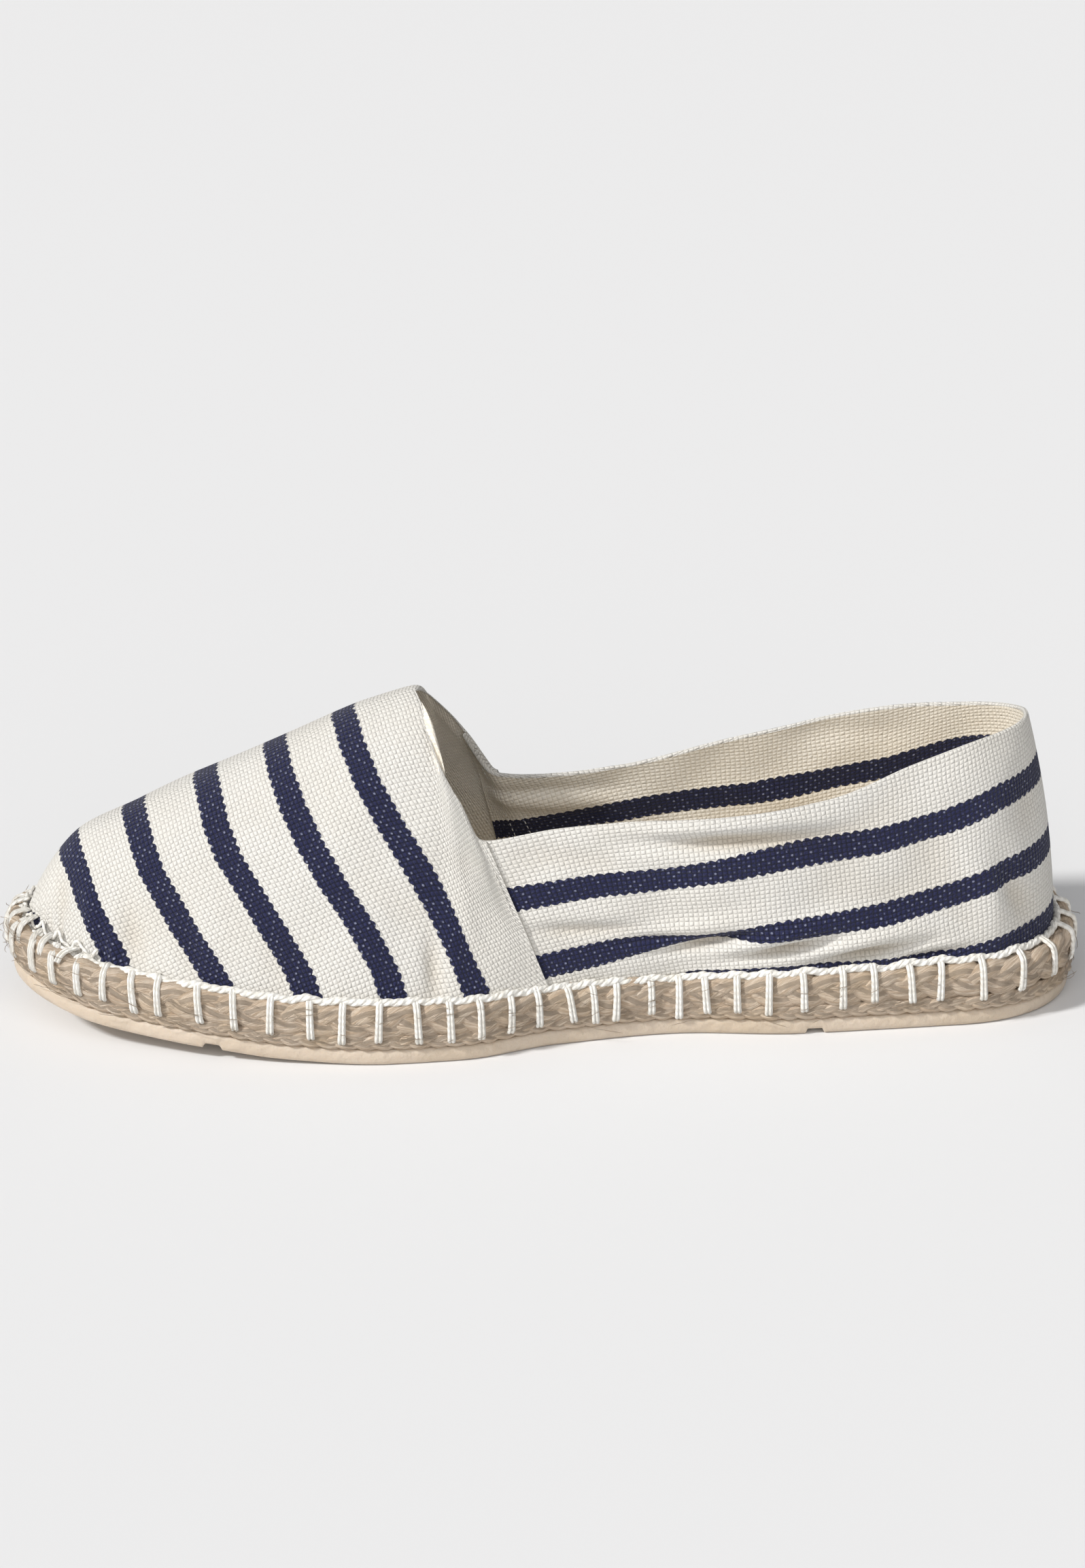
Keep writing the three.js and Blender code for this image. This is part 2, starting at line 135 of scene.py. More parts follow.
# soft troughs (-) and ridges (+), mm: side, x along the canvas line, height up the wall, half lengths, depth, tilt of the crease
CREASES = [
    # the long fold above the sole, medial: a trough with the cloth rolled out over it
    ("medial", 108, 12.2, 9, 1.3, -1.5, -0.10), ("medial", 94, 10.3, 11, 1.5, -3.0, -0.16), ("medial", 76, 7.2, 13, 1.7, -3.5, -0.16),
    ("medial", 56, 4.6, 13, 1.5, -3.0, -0.13), ("medial", 40, 2.7, 10, 1.2, -1.4, -0.10),
    ("medial", 98, 14.4, 13, 2.6, 1.8, -0.12), ("medial", 78, 11.4, 15, 3.2, 2.8, -0.16), ("medial", 57, 8.8, 14, 3.2, 2.8, -0.13),
    ("medial", 40, 7.0, 11, 3.4, 1.2, -0.10), ("medial", 86, 4.4, 14, 2.2, 0.9, -0.12),
    ("medial", 124, 15.4, 11, 1.8, -1.3, 0.06), ("medial", 124, 19.4, 12, 2.8, 0.9, 0.04), ("medial", 118, 6.0, 12, 3.4, 1.0, 0.0),
    ("medial", 112, 9.6, 8, 1.4, 0.8, -0.10),
    # the collar's roll, medial
    ("medial", 84, 36.6, 16, 2.3, -3.1, 0.05), ("medial", 96, 41.0, 15, 2.6, 2.0, 0.04), ("medial", 70, 41.0, 10, 2.6, 1.0, 0.10),
    ("medial", 62, 36, 12, 5, -1.0, -0.25), ("medial", 102, 33.0, 12, 3.0, 0.9, 0.06),
    ("medial", 120, 34, 12, 3.6, -1.0, 0.15), ("medial", 40, 30, 9, 9, -0.9, 0.5), ("medial", 18, 15, 4.0, 6, -1.7, 0.9),
    ("medial", 26, 20, 5, 7, 0.9, 0.7), ("medial", 12, 34, 4, 9, -0.8, 0.2), ("medial", 28, 46, 10, 5, 0.6, -0.2),
    ("medial", 102, 24, 16, 4.4, 0.6, 0.0), ("medial", 52, 20, 14, 5, -0.6, 0.08), ("medial", 31, 9, 6, 4, -0.8, 0.3),
    # vamp
    ("medial", 166, 8, 2.2, 8, -1.4, 0.0), ("medial", 160, 10, 2.4, 8, 0.8, 0.0), ("medial", 205, 12, 5, 9, -0.5, 0.35),
    ("medial", 226, 10, 3.5, 8, -0.8, 0.3), ("medial", 240, 9, 2.6, 8, -1.1, 0.2), ("medial", 250, 10, 2.4, 9, 0.9, 0.1),
    ("medial", 186, 40, 10, 8, 0.5, 0.1), ("medial", 257, 14, 1.6, 8, -0.9, 0.0), ("medial", 216, 26, 8, 9, -0.4, 0.2),
    ("medial", 174, 24, 8, 6, -0.5, 0.4), ("medial", 156, 20, 5, 9, 0.5, 0.2), ("medial", 152, 34, 4, 6, -0.5, -0.4),
    # lateral
    ("lateral", 110, 6, 16, 2.0, -1.6, -0.05), ("lateral", 108, 10.5, 16, 3.0, 1.0, -0.05), ("lateral", 70, 22, 14, 4, -0.9, 0.15),
    ("lateral", 120, 28, 14, 3.2, -1.3, 0.12), ("lateral", 124, 33, 12, 2.6, 0.8, 0.1), ("lateral", 40, 16, 10, 6, -0.8, 0.4),
    ("lateral", 20, 20, 5, 8, -0.8, 0.6), ("lateral", 168, 9, 2.6, 8, -0.7, 0.0), ("lateral", 210, 12, 5, 8, -0.6, 0.3),
    ("lateral", 238, 10, 3, 7, -0.9, 0.2), ("lateral", 52, 42, 14, 4, 0.6, 0.0),
]

# ------------------------------------------------------------------ curves


def pchip(xs, ys, x):
    xs = np.asarray(xs, float)
    ys = np.asarray(ys, float)
    x = np.asarray(x, float)
    h = np.diff(xs)
    d = np.diff(ys) / h
    m = np.zeros(len(xs))
    for i in range(1, len(xs) - 1):
        if d[i - 1] * d[i] > 0:
            w1, w2 = 2 * h[i] + h[i - 1], h[i] + 2 * h[i - 1]
            m[i] = (w1 + w2) / (w1 / d[i - 1] + w2 / d[i])
    m[0], m[-1] = d[0], d[-1]
    i = np.clip(np.searchsorted(xs, x) - 1, 0, len(h) - 1)
    t = np.clip((x - xs[i]) / h[i], 0, 1)
    u = 1 - t
    return ys[i] * (1 + 2 * t) * u * u + h[i] * m[i] * t * u * u + ys[i + 1] * t * t * (3 - 2 * t) + h[i] * m[i + 1] * t * t * (t - 1)


def sgn(side):
    return 1.0 if side == "medial" else -1.0


def half(x, side):
    return pchip(PLAN["x"], PLAN[side], x)


def ground(x):
    return pchip(GROUND["x"], GROUND["z"], x)


def rope_top(x):
    return ground(x) + pchip(HEIGHT["x"], HEIGHT["z"], x)


def ends(x):
    x = np.asarray(x, float)
    a = np.clip(1 - x / HEEL_CAP[0], 0, 1)
    b = np.clip(1 - (SOLE_LENGTH - x) / TOE_CAP[0], 0, 1)
    return (1 - a ** HEEL_CAP[1]) ** (1 / HEEL_CAP[1]) * (1 - b ** TOE_CAP[1]) ** (1 / TOE_CAP[1])


def outline(t, side, inset):
    f = (1 - np.cos(np.pi * np.asarray(t, float))) / 2
    x = inset + (SOLE_LENGTH - 2 * inset) * f
    return x, sgn(side) * (half(x, side) - inset) * ends(f * SOLE_LENGTH)


def feather(x, side, extra=0.0):
    x = np.asarray(x, float)
    x0, x1 = FEATHER_HEEL + extra, SOLE_LENGTH - FEATHER_TOE - extra
    w = half(x, side) - pchip(FEATHER["x"], FEATHER["d"], x) * np.clip(x / 40, 0.6, 1) - extra
    return sgn(side) * w * ends(np.clip((x - x0) / (x1 - x0), 0, 1) * SOLE_LENGTH)


def smooth(a, b, x):
    t = np.clip((x - a) / (b - a), 0, 1)
    return t * t * (3 - 2 * t)


# ------------------------------------------------------------------ mesh helpers


def to_row(P):
    P = np.asarray(P, float).reshape(-1, 3).copy()
    P[:, 0] += MOVE[0]
    P[:, 1] += MOVE[1]
    return P / 1000.0


def make_mesh(name, points, faces, uvs=None, material=None, smooth_faces=True):
    """faces: (n, 3) or (n, 4) int array, or a list of both. uvs: {layer: per-corner (k, 2)} in mm."""
    me = bpy.data.meshes.new(name)
    arrays = faces if isinstance(faces, list) else [faces]
    arrays = [np.asarray(a, np.int32) for a in arrays if len(a)]
    loops = np.concatenate([a.ravel() for a in arrays])
    sizes = np.concatenate([np.full(len(a), a.shape[1], np.int32) for a in arrays])
    starts = np.concatenate([[0], np.cumsum(sizes)[:-1]]).astype(np.int32)
    P = to_row(points).astype(np.float32)
    me.vertices.add(len(P))
    me.vertices.foreach_set("co", P.ravel())
    me.loops.add(len(loops))
    me.loops.foreach_set("vertex_index", loops)
    me.polygons.add(len(sizes))
    me.polygons.foreach_set("loop_start", starts)
    me.polygons.foreach_set("use_smooth", np.full(len(sizes), smooth_faces))
    if uvs:
        for layer, val in uvs.items():
            lay = me.uv_layers.new(name=layer)
            lay.uv.foreach_set("vector", (np.asarray(val, np.float32)[loops] / 1000.0).ravel().astype(np.float32))
    me.update(calc_edges=True)
    me.validate(clean_customdata=False)
    ob = bpy.data.objects.new(name, me)
    bpy.context.scene.collection.objects.link(ob)
    if material:
        me.materials.append(material)
    return ob


class Pile:
    """Grids and tubes gathered into one mesh."""

    def __init__(self):
        self.p, self.f, self.uv, self.n = [], [], {}, 0

    def grid(self, P, closed_u=False, closed_v=False, flip=False, **uv):
        nu, nv = P.shape[:2]
        idx = np.arange(nu * nv).reshape(nu, nv) + self.n
        if closed_u:
            idx = np.concatenate([idx, idx[:1]], 0)
        if closed_v:
            idx = np.concatenate([idx, idx[:, :1]], 1)
        a, b, c, d = idx[:-1, :-1], idx[1:, :-1], idx[1:, 1:], idx[:-1, 1:]
        q = np.stack([a, b, c, d] if not flip else [a, d, c, b], -1).reshape(-1, 4)
        self.p.append(P.reshape(-1, 3))
        self.f.append(q)
        for k, v in uv.items():
            self.uv.setdefault(k, []).append(np.asarray(v, float).reshape(-1, 2))
        self.n += nu * nv
        return idx

    def tube(self, C, r, sides=8, up=(0, 0, 1), flat=1.0, v0=0.0, capped=True):
        """A tube along C with radius r (number or array); flat squeezes it along its second axis."""
        C = np.asarray(C, float)
        n = len(C)
        T = np.gradient(C, axis=0)
        T /= np.linalg.norm(T, axis=1, keepdims=True) + 1e-9
        U = np.broadcast_to(np.asarray(up, float), C.shape).copy()
        E1 = U - (U * T).sum(1, keepdims=True) * T
        E1 /= np.linalg.norm(E1, axis=1, keepdims=True) + 1e-9
        E2 = np.cross(T, E1)
        r = np.broadcast_to(np.asarray(r, float), (n,)).copy()
        if capped:
            r[0] *= 0.15
            r[-1] *= 0.15
        a = np.linspace(0, 2 * np.pi, sides, endpoint=False)
        P = C[:, None] + r[:, None, None] * (np.cos(a)[None, :, None] * E1[:, None] + flat * np.sin(a)[None, :, None] * E2[:, None])
        s = np.concatenate([[0], np.cumsum(np.linalg.norm(np.diff(C, axis=0), axis=1))])
        uv = np.stack([np.broadcast_to(s[:, None] + v0, (n, sides)), np.broadcast_to(a[None, :] * 1.0, (n, sides))], -1)
        return self.grid(P, closed_v=True, cloth=uv)

    def build(self, name, material):
        uvs = {k: np.concatenate(v) for k, v in self.uv.items()}
        return make_mesh(name, np.concatenate(self.p), np.concatenate(self.f), uvs, material)


# ------------------------------------------------------------------ materials


class Nodes:
    def __init__(self, name):
        self.m = bpy.data.materials.new(name)
        self.m.use_nodes = True
        self.t = self.m.node_tree
        self.bsdf = self.t.nodes["Principled BSDF"]

    def new(self, kind, **props):
        n = self.t.nodes.new(kind)
        for k, v in props.items():
            setattr(n, k, v)
        return n

    def link(self, a, b):
        self.t.links.new(a, b)

    def put(self, sock, v):
        if hasattr(v, "is_output"):
            self.link(v, sock)
        else:
            sock.default_value = v

    def math(self, op, a, b=0.0, c=0.0, clamp=False):
        n = self.new("ShaderNodeMath", operation=op, use_clamp=clamp)
        for i, v in enumerate((a, b, c)):
            self.put(n.inputs[i], v)
        return n.outputs[0]

    def uv(self, layer):
        n = self.new("ShaderNodeUVMap", uv_map=layer)
        s = self.new("ShaderNodeVectorMath", operation="SCALE")
        self.link(n.outputs[0], s.inputs[0])
        s.inputs[3].default_value = 1000.0
        x = self.new("ShaderNodeSeparateXYZ")
        self.link(s.outputs[0], x.inputs[0])
        return s.outputs[0], x.outputs[0], x.outputs[1]

    def mm(self):
        n = self.new("ShaderNodeTexCoord")
        s = self.new("ShaderNodeVectorMath", operation="SCALE")
        self.link(n.outputs["Object"], s.inputs[0])
        s.inputs[3].default_value = 1000.0
        return s.outputs[0]

    def noise(self, vec, scale, detail=2.0, rough=0.5):
        n = self.new("ShaderNodeTexNoise")
        self.link(vec, n.inputs["Vector"])
        n.inputs["Scale"].default_value = scale
        n.inputs["Detail"].default_value = detail
        n.inputs["Roughness"].default_value = rough
        return n.outputs["Fac"]

    def vec(self, x, y, z=0.0):
        n = self.new("ShaderNodeCombineXYZ")
        for i, v in enumerate((x, y, z)):
            self.put(n.inputs[i], v)
        return n.outputs[0]

    def mix(self, fac, a, b, blend="MIX"):
        n = self.new("ShaderNodeMix", data_type="RGBA", blend_type=blend)
        self.put(n.inputs[0], fac)
        for s, v in ((n.inputs[6], a), (n.inputs[7], b)):
            self.put(s, v if hasattr(v, "is_output") else (*v, 1.0))
        return n.outputs[2]

    def ramp(self, fac, a, b):
        n = self.new("ShaderNodeMapRange", interpolation_type="SMOOTHSTEP")
        self.put(n.inputs[0], fac)
        n.inputs[1].default_value, n.inputs[2].default_value = a, b
        return n.outputs[0]

    def bump(self, height, distance, strength=1.0, normal=None):
        n = self.new("ShaderNodeBump")
        n.inputs["Strength"].default_value = strength
        n.inputs["Distance"].default_value = distance
        self.link(height, n.inputs["Height"])
        if normal is not None:
            self.link(normal, n.inputs["Normal"])
        return n.outputs[0]


THREAD = 1.22                     # mm, canvas thread to thread


def canvas_material(name, tint, inside=False, striped=True):
    N = Nodes(name)
    vec, u, v = N.uv("cloth")
    obj = N.mm()
    # threads wander a little
    wob = N.noise(obj, 0.12, 2)
    wob2 = N.noise(obj, 0.9, 2)
    uu = N.math("ADD", u, N.math("MULTIPLY", N.math("SUBTRACT", wob, 0.5), 1.4))
    vv = N.math("ADD", v, N.math("MULTIPLY", N.math("SUBTRACT", wob2, 0.5), 0.35))
    pu = N.math("MULTIPLY", uu, math.pi / THREAD)
    pv = N.math("MULTIPLY", vv, math.pi / (THREAD * 0.86))
    s = N.math("MULTIPLY", N.math("SINE", pu), N.math("SINE", pv))
    a = N.math("ABSOLUTE", s)
    knob = N.math("POWER", a, 0.55)
    over = N.ramp(s, -0.25, 0.25)          # 1 where the lengthwise thread lies on top
    height = N.math("MULTIPLY", knob, N.math("ADD", 0.55, N.math("MULTIPLY", over, 0.45)))
    thick = N.noise(N.vec(N.math("MULTIPLY", u, 0.08), N.math("MULTIPLY", v, 0.9)), 1.0, 2)
    thick2 = N.noise(N.vec(N.math("MULTIPLY", u, 0.9), N.math("MULTIPLY", v, 0.08), 3.0), 1.0, 2)
    height = N.math("ADD", height, N.math("MULTIPLY", N.math("ADD", thick, thick2), 0.35))
    # colour
    blotch = N.noise(obj, 0.035, 3)
    warm = tint["warm"]
    pale = tint["pale"]
    col = N.mix(N.ramp(blotch, 0.35, 0.7), pale, warm)
    yarn = N.math("ADD", thick, thick2)
    col = N.mix(N.math("MULTIPLY", N.ramp(yarn, 0.85, 1.25), 0.25), col, tint["dim"])
    # painted shade: darker colour in the weave's pits, where the bump's height is low
    col = N.mix(N.math("MULTIPLY", N.ramp(knob, 0.75, 0.15), 0.42), col, tint["pit_shade"])
    if striped:
        bvec, bx, by = N.uv("band")
        t = N.math("DIVIDE", bx, PITCH)
        fr = N.math("ABSOLUTE", N.math("SUBTRACT", N.math("FRACT", N.math("ADD", t, 100.5)), 0.5))
        d = N.math("MULTIPLY", fr, PITCH)
        scal = N.math("ABSOLUTE", N.math("SINE", N.math("MULTIPLY", u, math.pi / (THREAD * 2.0))))
        rag = N.noise(N.vec(N.math("MULTIPLY", u, 0.8), v), 1.0, 1)
        edge = N.math("ADD", 2.95, N.math("ADD", N.math("MULTIPLY", scal, 0.62), N.math("MULTIPLY", N.math("SUBTRACT", rag, 0.5), 0.5)))
        m = N.math("SUBTRACT", edge, d)
        mask = N.ramp(m, -0.12, 0.12)
        fleck = N.math("MULTIPLY", N.ramp(s, 0.62, 0.86), N.ramp(N.noise(obj, 0.55, 1), 0.42, 0.60))
        navy = N.mix(N.ramp(N.noise(N.vec(u, N.math("MULTIPLY", v, 3.0)), 1.4, 2), 0.35, 0.68), tint["navy"], tint["navy2"])
        # painted shade: the navy darkens further in the weave's pits
        navy = N.mix(N.math("MULTIPLY", N.ramp(knob, 0.7, 0.1), 0.7), navy, (0.004, 0.0045, 0.010))
        navy = N.mix(N.math("MULTIPLY", fleck, 0.60), navy, (0.33, 0.35, 0.46))
        col = N.mix(mask, col, navy)
        # painted shade: the canvas turns darker and warmer tan in the creases' troughs, scaled by the crease depth
        # carried in the band layer's second slot
        col = N.mix(N.math("MULTIPLY", by, 0.62), col, (0.70, 0.60, 0.46), "MULTIPLY")
        # navy threads are thicker
        height = N.math("ADD", height, N.math("MULTIPLY", mask, N.math("MULTIPLY", knob, 0.45)))
    N.link(col, N.bsdf.inputs["Base Color"])
    N.bsdf.inputs["Roughness"].default_value = 0.92
    N.bsdf.inputs["Sheen Weight"].default_value = 0.12
    N.bsdf.inputs["Sheen Roughness"].default_value = 0.5
    N.bsdf.inputs["Specular IOR Level"].default_value = 0.25
    fuzz = N.noise(obj, 6.0, 3, 0.7)
    h = N.math("ADD", height, N.math("MULTIPLY", fuzz, 0.35))
    N.link(N.bump(h, 0.00050, 0.6 if inside else 0.85), N.bsdf.inputs["Normal"])
    return N.m


TINT = dict(pale=(0.79, 0.768, 0.722), warm=(0.77, 0.742, 0.685), dim=(0.69, 0.66, 0.60), pit_shade=(0.56, 0.53, 0.47),
            navy=(0.0135, 0.0150, 0.052), navy2=(0.026, 0.030, 0.088))
# inside of the canvas: the cloth's colours made brighter and warmer than outside, painted light standing in for light
# bounced round and shining through the cloth inside the shoe
INSIDE_PAINTED_BOUNCE = dict(pale=(0.95, 0.895, 0.79), warm=(0.94, 0.865, 0.735), dim=(0.88, 0.80, 0.66), pit_shade=(0.78, 0.69, 0.55),
              navy=(0.0125, 0.0135, 0.042), navy2=(0.024, 0.027, 0.070))


def thread_material():
    N = Nodes("stitch_thread")
    vec, u, v = N.uv("cloth")
    # plied cotton: slanting grooves
    ply = N.math("SINE", N.math("ADD", N.math("MULTIPLY", u, 2 * math.pi / 1.7), N.math("MULTIPLY", v, 2000.0 * 0.001)))
    obj = N.mm()
    n = N.noise(obj, 3.0, 3, 0.6)
    col = N.mix(N.ramp(N.noise(obj, 0.25, 2), 0.35, 0.7), (0.88, 0.86, 0.81), (0.82, 0.79, 0.72))
    # painted shade: darker colour down the ply grooves, where the bump is low
    col = N.mix(N.math("MULTIPLY", N.ramp(ply, 0.0, -1.0), 0.22), col, (0.58, 0.53, 0.44))
    N.link(col, N.bsdf.inputs["Base Color"])
    N.bsdf.inputs["Roughness"].default_value = 0.85
    N.bsdf.inputs["Specular IOR Level"].default_value = 0.3
    h = N.math("ADD", N.math("MULTIPLY", ply, 0.5), n)
    N.link(N.bump(h, 0.00022, 0.8), N.bsdf.inputs["Normal"])
    return N.m


def jute_material(name="jute", dark=1.0):
    N = Nodes(name)
    vec, u, v = N.uv("cloth")
    obj = N.mm()
    fib = N.noise(N.vec(N.math("MULTIPLY", u, 0.11), N.math("MULTIPLY", v, 3.0), N.noise(obj, 0.2, 1)), 1.0, 4, 0.66)
    fine = N.noise(N.vec(N.math("MULTIPLY", u, 0.5), N.math("MULTIPLY", v, 9.0)), 1.0, 3, 0.65)
    blotch = N.noise(obj, 0.10, 3)
    k = dark
    # strands vary from dark to light tan; the tone follows the bump, so raised fibres are lighter (painted highlight)
    # and crevices darker (painted shade)
    col = N.mix(N.ramp(fib, 0.36, 0.66), (0.60 * k, 0.455 * k, 0.325 * k), (0.88 * k, 0.755 * k, 0.615 * k))
    col = N.mix(N.math("MULTIPLY", N.ramp(fine, 0.58, 0.30), 0.55), col, (0.38 * k, 0.265 * k, 0.165 * k))
    col = N.mix(N.math("MULTIPLY", N.ramp(blotch, 0.45, 0.75), 0.35), col, (0.70 * k, 0.53 * k, 0.34 * k))
    N.link(col, N.bsdf.inputs["Base Color"])
    N.bsdf.inputs["Roughness"].default_value = 0.82
    N.bsdf.inputs["Specular IOR Level"].default_value = 0.35
    h = N.math("ADD", fib, N.math("MULTIPLY", fine, 0.6))
    N.link(N.bump(h, 0.0009, 0.9), N.bsdf.inputs["Normal"])
    return N.m


def rubber_material():
    N = Nodes("tread_rubber")
    obj = N.mm()
    blotch = N.noise(obj, 0.05, 3)
    grain = N.noise(obj, 2.6, 3, 0.6)
    col = N.mix(N.ramp(blotch, 0.35, 0.7), (0.61, 0.51, 0.405), (0.55, 0.45, 0.34))
    col = N.mix(N.math("MULTIPLY", N.ramp(grain, 0.55, 0.75), 0.25), col, (0.68, 0.59, 0.48))
    N.link(col, N.bsdf.inputs["Base Color"])
    N.bsdf.inputs["Roughness"].default_value = 0.48
    N.bsdf.inputs["Subsurface Weight"].default_value = 0.25
    N.bsdf.inputs["Subsurface Radius"].default_value = (0.004, 0.003, 0.002)
    N.bsdf.inputs["Subsurface Scale"].default_value = 1.0
    low = N.noise(obj, 0.35, 2)
    N.link(N.bump(N.math("ADD", N.math("MULTIPLY", low, 1.6), N.math("MULTIPLY", grain, 0.25)), 0.0006, 0.6), N.bsdf.inputs["Normal"])
    return N.m


MAT_CANVAS = canvas_material("canvas", TINT)
MAT_INSIDE = canvas_material("canvas_inside", INSIDE_PAINTED_BOUNCE, inside=True)
MAT_THREAD = thread_material()
MAT_JUTE = jute_material()
MAT_CORE = jute_material("jute_core", 0.7)
MAT_RUBBER = rubber_material()

# ------------------------------------------------------------------ upper


def columns(side, s):
    rows = np.array(SECTIONS[side])
    n = len(rows)
    out = {}
    for k, name in enumerate(COLUMNS):
        odd = -1 if name == "topY" else 1
        ys = np.concatenate([[odd * rows[1, k]], rows[:, k], [odd * rows[n - 2, k]]])
        out[name] = pchip(np.arange(-1, n + 1), ys, s)
    return out


def crease(side, fx, h, hmax):
    out = np.zeros_like(h)
    for sd, cx, ch, a, b, d, tilt in CREASES:
        if sd != side:
            continue
        dx, dh = fx - cx, h - ch
        e = dh - tilt * dx
        out += d * np.exp(-((dx / a) ** 2) - (e / b) ** 2)
    return out


def wall(side, s, rows):
    """Points, arc height, and station's foot x over stations s (array) and rows up the wall."""
    c = columns(side, s)
    r = columns("medial", s)
    on = (s >= APEX)
    top = [np.where(on, r[k], c[k]) for k in ("topX", "topY", "topZ")]
    fy = feather(c["footX"], side)
    fy = np.where((s <= 0) | (s >= LAST), 0, fy)
    F = np.stack([c["footX"], fy, rope_top(c["footX"]) + GAP], 1)
    T = np.stack(top, 1)
    eps = 1e-3
    ca = columns(side, np.clip(s - eps, 0, LAST))["footX"]
    cb = columns(side, np.clip(s + eps, 0, LAST))["footX"]
    ta = np.stack([ca, feather(ca, side)], 1)
    tb = np.stack([cb, feather(cb, side)], 1)
    d = tb - ta
    n = np.stack([d[:, 1], -d[:, 0]], 1) * -sgn(side)
    n /= np.linalg.norm(n, axis=1, keepdims=True) + 1e-12
    n[s <= 1e-9] = (-1, 0)
    n[s >= LAST - 1e-9] = (1, 0)
    u = np.asarray(rows, float)[None, :, None]
    h00 = 2 * u**3 - 3 * u**2 + 1
    h10 = u**3 - 2 * u**2 + u
    h01 = 1 - h00
    h11 = u**3 - u**2
    D = T - F
    mF = np.stack([D[:, 0] * c["leaveSide"], D[:, 1] * c["leaveSide"], D[:, 2] * c["leaveUp"]], 1)
    mT = np.stack([D[:, 0] * c["arriveSide"], D[:, 1] * c["arriveSide"], D[:, 2] * c["arriveUp"]], 1)
    P = h00 * F[:, None] + h10 * mF[:, None] + h01 * T[:, None] + h11 * mT[:, None]
    n3 = np.concatenate([n, np.zeros((len(n), 1))], 1)
    P = P + 4 * u * (1 - u) * c["belly"][:, None, None] * n3[:, None, :]
    dist = np.linalg.norm(np.diff(P, axis=1), axis=2)
    h = np.concatenate([np.zeros((len(s), 1)), np.cumsum(dist, 1)], 1)
    return P, h, c["footX"]


def normals(P, flip):
    du = np.gradient(P, axis=0)
    dv = np.gradient(P, axis=1)
    n = np.cross(du, dv)
    n /= np.linalg.norm(n, axis=2, keepdims=True) + 1e-12
    return -n if flip else n


NS_Q, NS_V, NROW = ((310, 215, 80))


def station_list(zone, side):
    if zone == "quarter":
        t = np.linspace(0, 1, NS_Q)
        return (SEAM + (0.45 if side == "medial" else 1.0)) * t
    a = np.linspace(SEAM, LAST - 0.6, NS_V)
    b = LAST - 0.6 + 0.6 * np.linspace(0, 1, max(12, NS_V // 9))[1:]
    return np.concatenate([a, b])


def vamp_phase(x, down):
    tab = [np.interp(down, VAMP_STRIPES["down"], VAMP_STRIPES[k]) for k in ("s1", "s2", "s3", "s4", "s5")]
    s6 = tab[4] - (tab[3] - tab[4])
    s0 = np.interp(down, [0, 0.5, 0.75, 1.0], [268.5, 267.0, 264.2, 262.6])
    xs = [s6, tab[4], tab[3], tab[2], tab[1], tab[0], s0]
    ph = [6.0, 5.0, 4.0, 3.0, 2.0, 1.0, 0.0]
    out = 6.0 + (xs[0] - x) / (xs[1] - xs[0])
    for k in range(6):
        t = (x - xs[k]) / (xs[k + 1] - xs[k])
        seg = ph[k] + (ph[k + 1] - ph[k]) * t
        out = np.where(x >= xs[k], seg, out)
    return np.maximum(out, -0.4)


def cloth_coords(side, zone, P, h, fx, s):
    hmax = h[:, -1:]
    if zone == "vamp":
        down = 1 - h / hmax
        x = P[:, :, 0]
        ph = vamp_phase(x, down)
        band = np.minimum(ph, 5.5) * PITCH
        across = ph * PITCH
        # counted from the ridge; behind the throat's middle the threads keep running parallel
        top0 = np.interp(APEX, s, hmax[:, 0]) + 0.32 * (np.interp(APEX, s, fx) - fx)
        along = sgn(side) * (np.where(s >= APEX, hmax[:, 0], top0)[:, None] - h)
    else:
        q = QUARTER_STRIPES[side]
        up = np.interp(fx, q["x"], q["upper"])[:, None]
        lo = np.interp(fx, q["x"], q["lower"])[:, None]
        # the lowest stripe, half under the stitching
        gap3 = np.interp(fx, [9, 20, 35, 46, 53, 62, 70, 100, 108, 116, 124], [19.5, 19.0, 17.2, 15.2, 14.0, 13.4, 12.2, 10.8, 12.0, 16.0, 19.0])[:, None]
        if side == "lateral":
            gap3 = np.full_like(gap3, 19.0)
        band = np.where(h > lo, (h - lo) / (up - lo), (h - lo) / gap3) * PITCH
        band = np.clip(band, -1.5 * PITCH, 1.5 * PITCH)
        if side == "medial":
            # the lower stripe is nipped by the fold
            nip = np.exp(-(((fx - 98) / 13.0) ** 2))[:, None]
            band = band + 3.6 * nip * np.tanh(band / 3.0) * (1 - smooth(6, 14, np.abs(band)))
        across = (h - lo)
        mid = P[:, P.shape[1] // 2]
        run = np.concatenate([[0], np.cumsum(np.linalg.norm(np.diff(mid, axis=0), axis=1))])
        along = np.broadcast_to(sgn(side) * run[:, None], h.shape)
    zero = np.zeros_like(band)
    return np.stack([along, across], -1), np.stack([band, zero], -1)


def toe_gathers(side, fx, h):
    """Radial pleats that fade up from the rope at the toe."""
    t = np.clip((fx - 232) / 26, 0, 1)
    ang = fx * 0.55 + 5.5 * np.clip((fx - 255) / 12, 0, 1) ** 2 * 3
    return t * (0.55 * np.sin(ang * 2.1 + (1 if side == "medial" else 2.2)) + 0.35 * np.sin(ang * 3.7)) * np.exp(-((h / 8.5) ** 2))


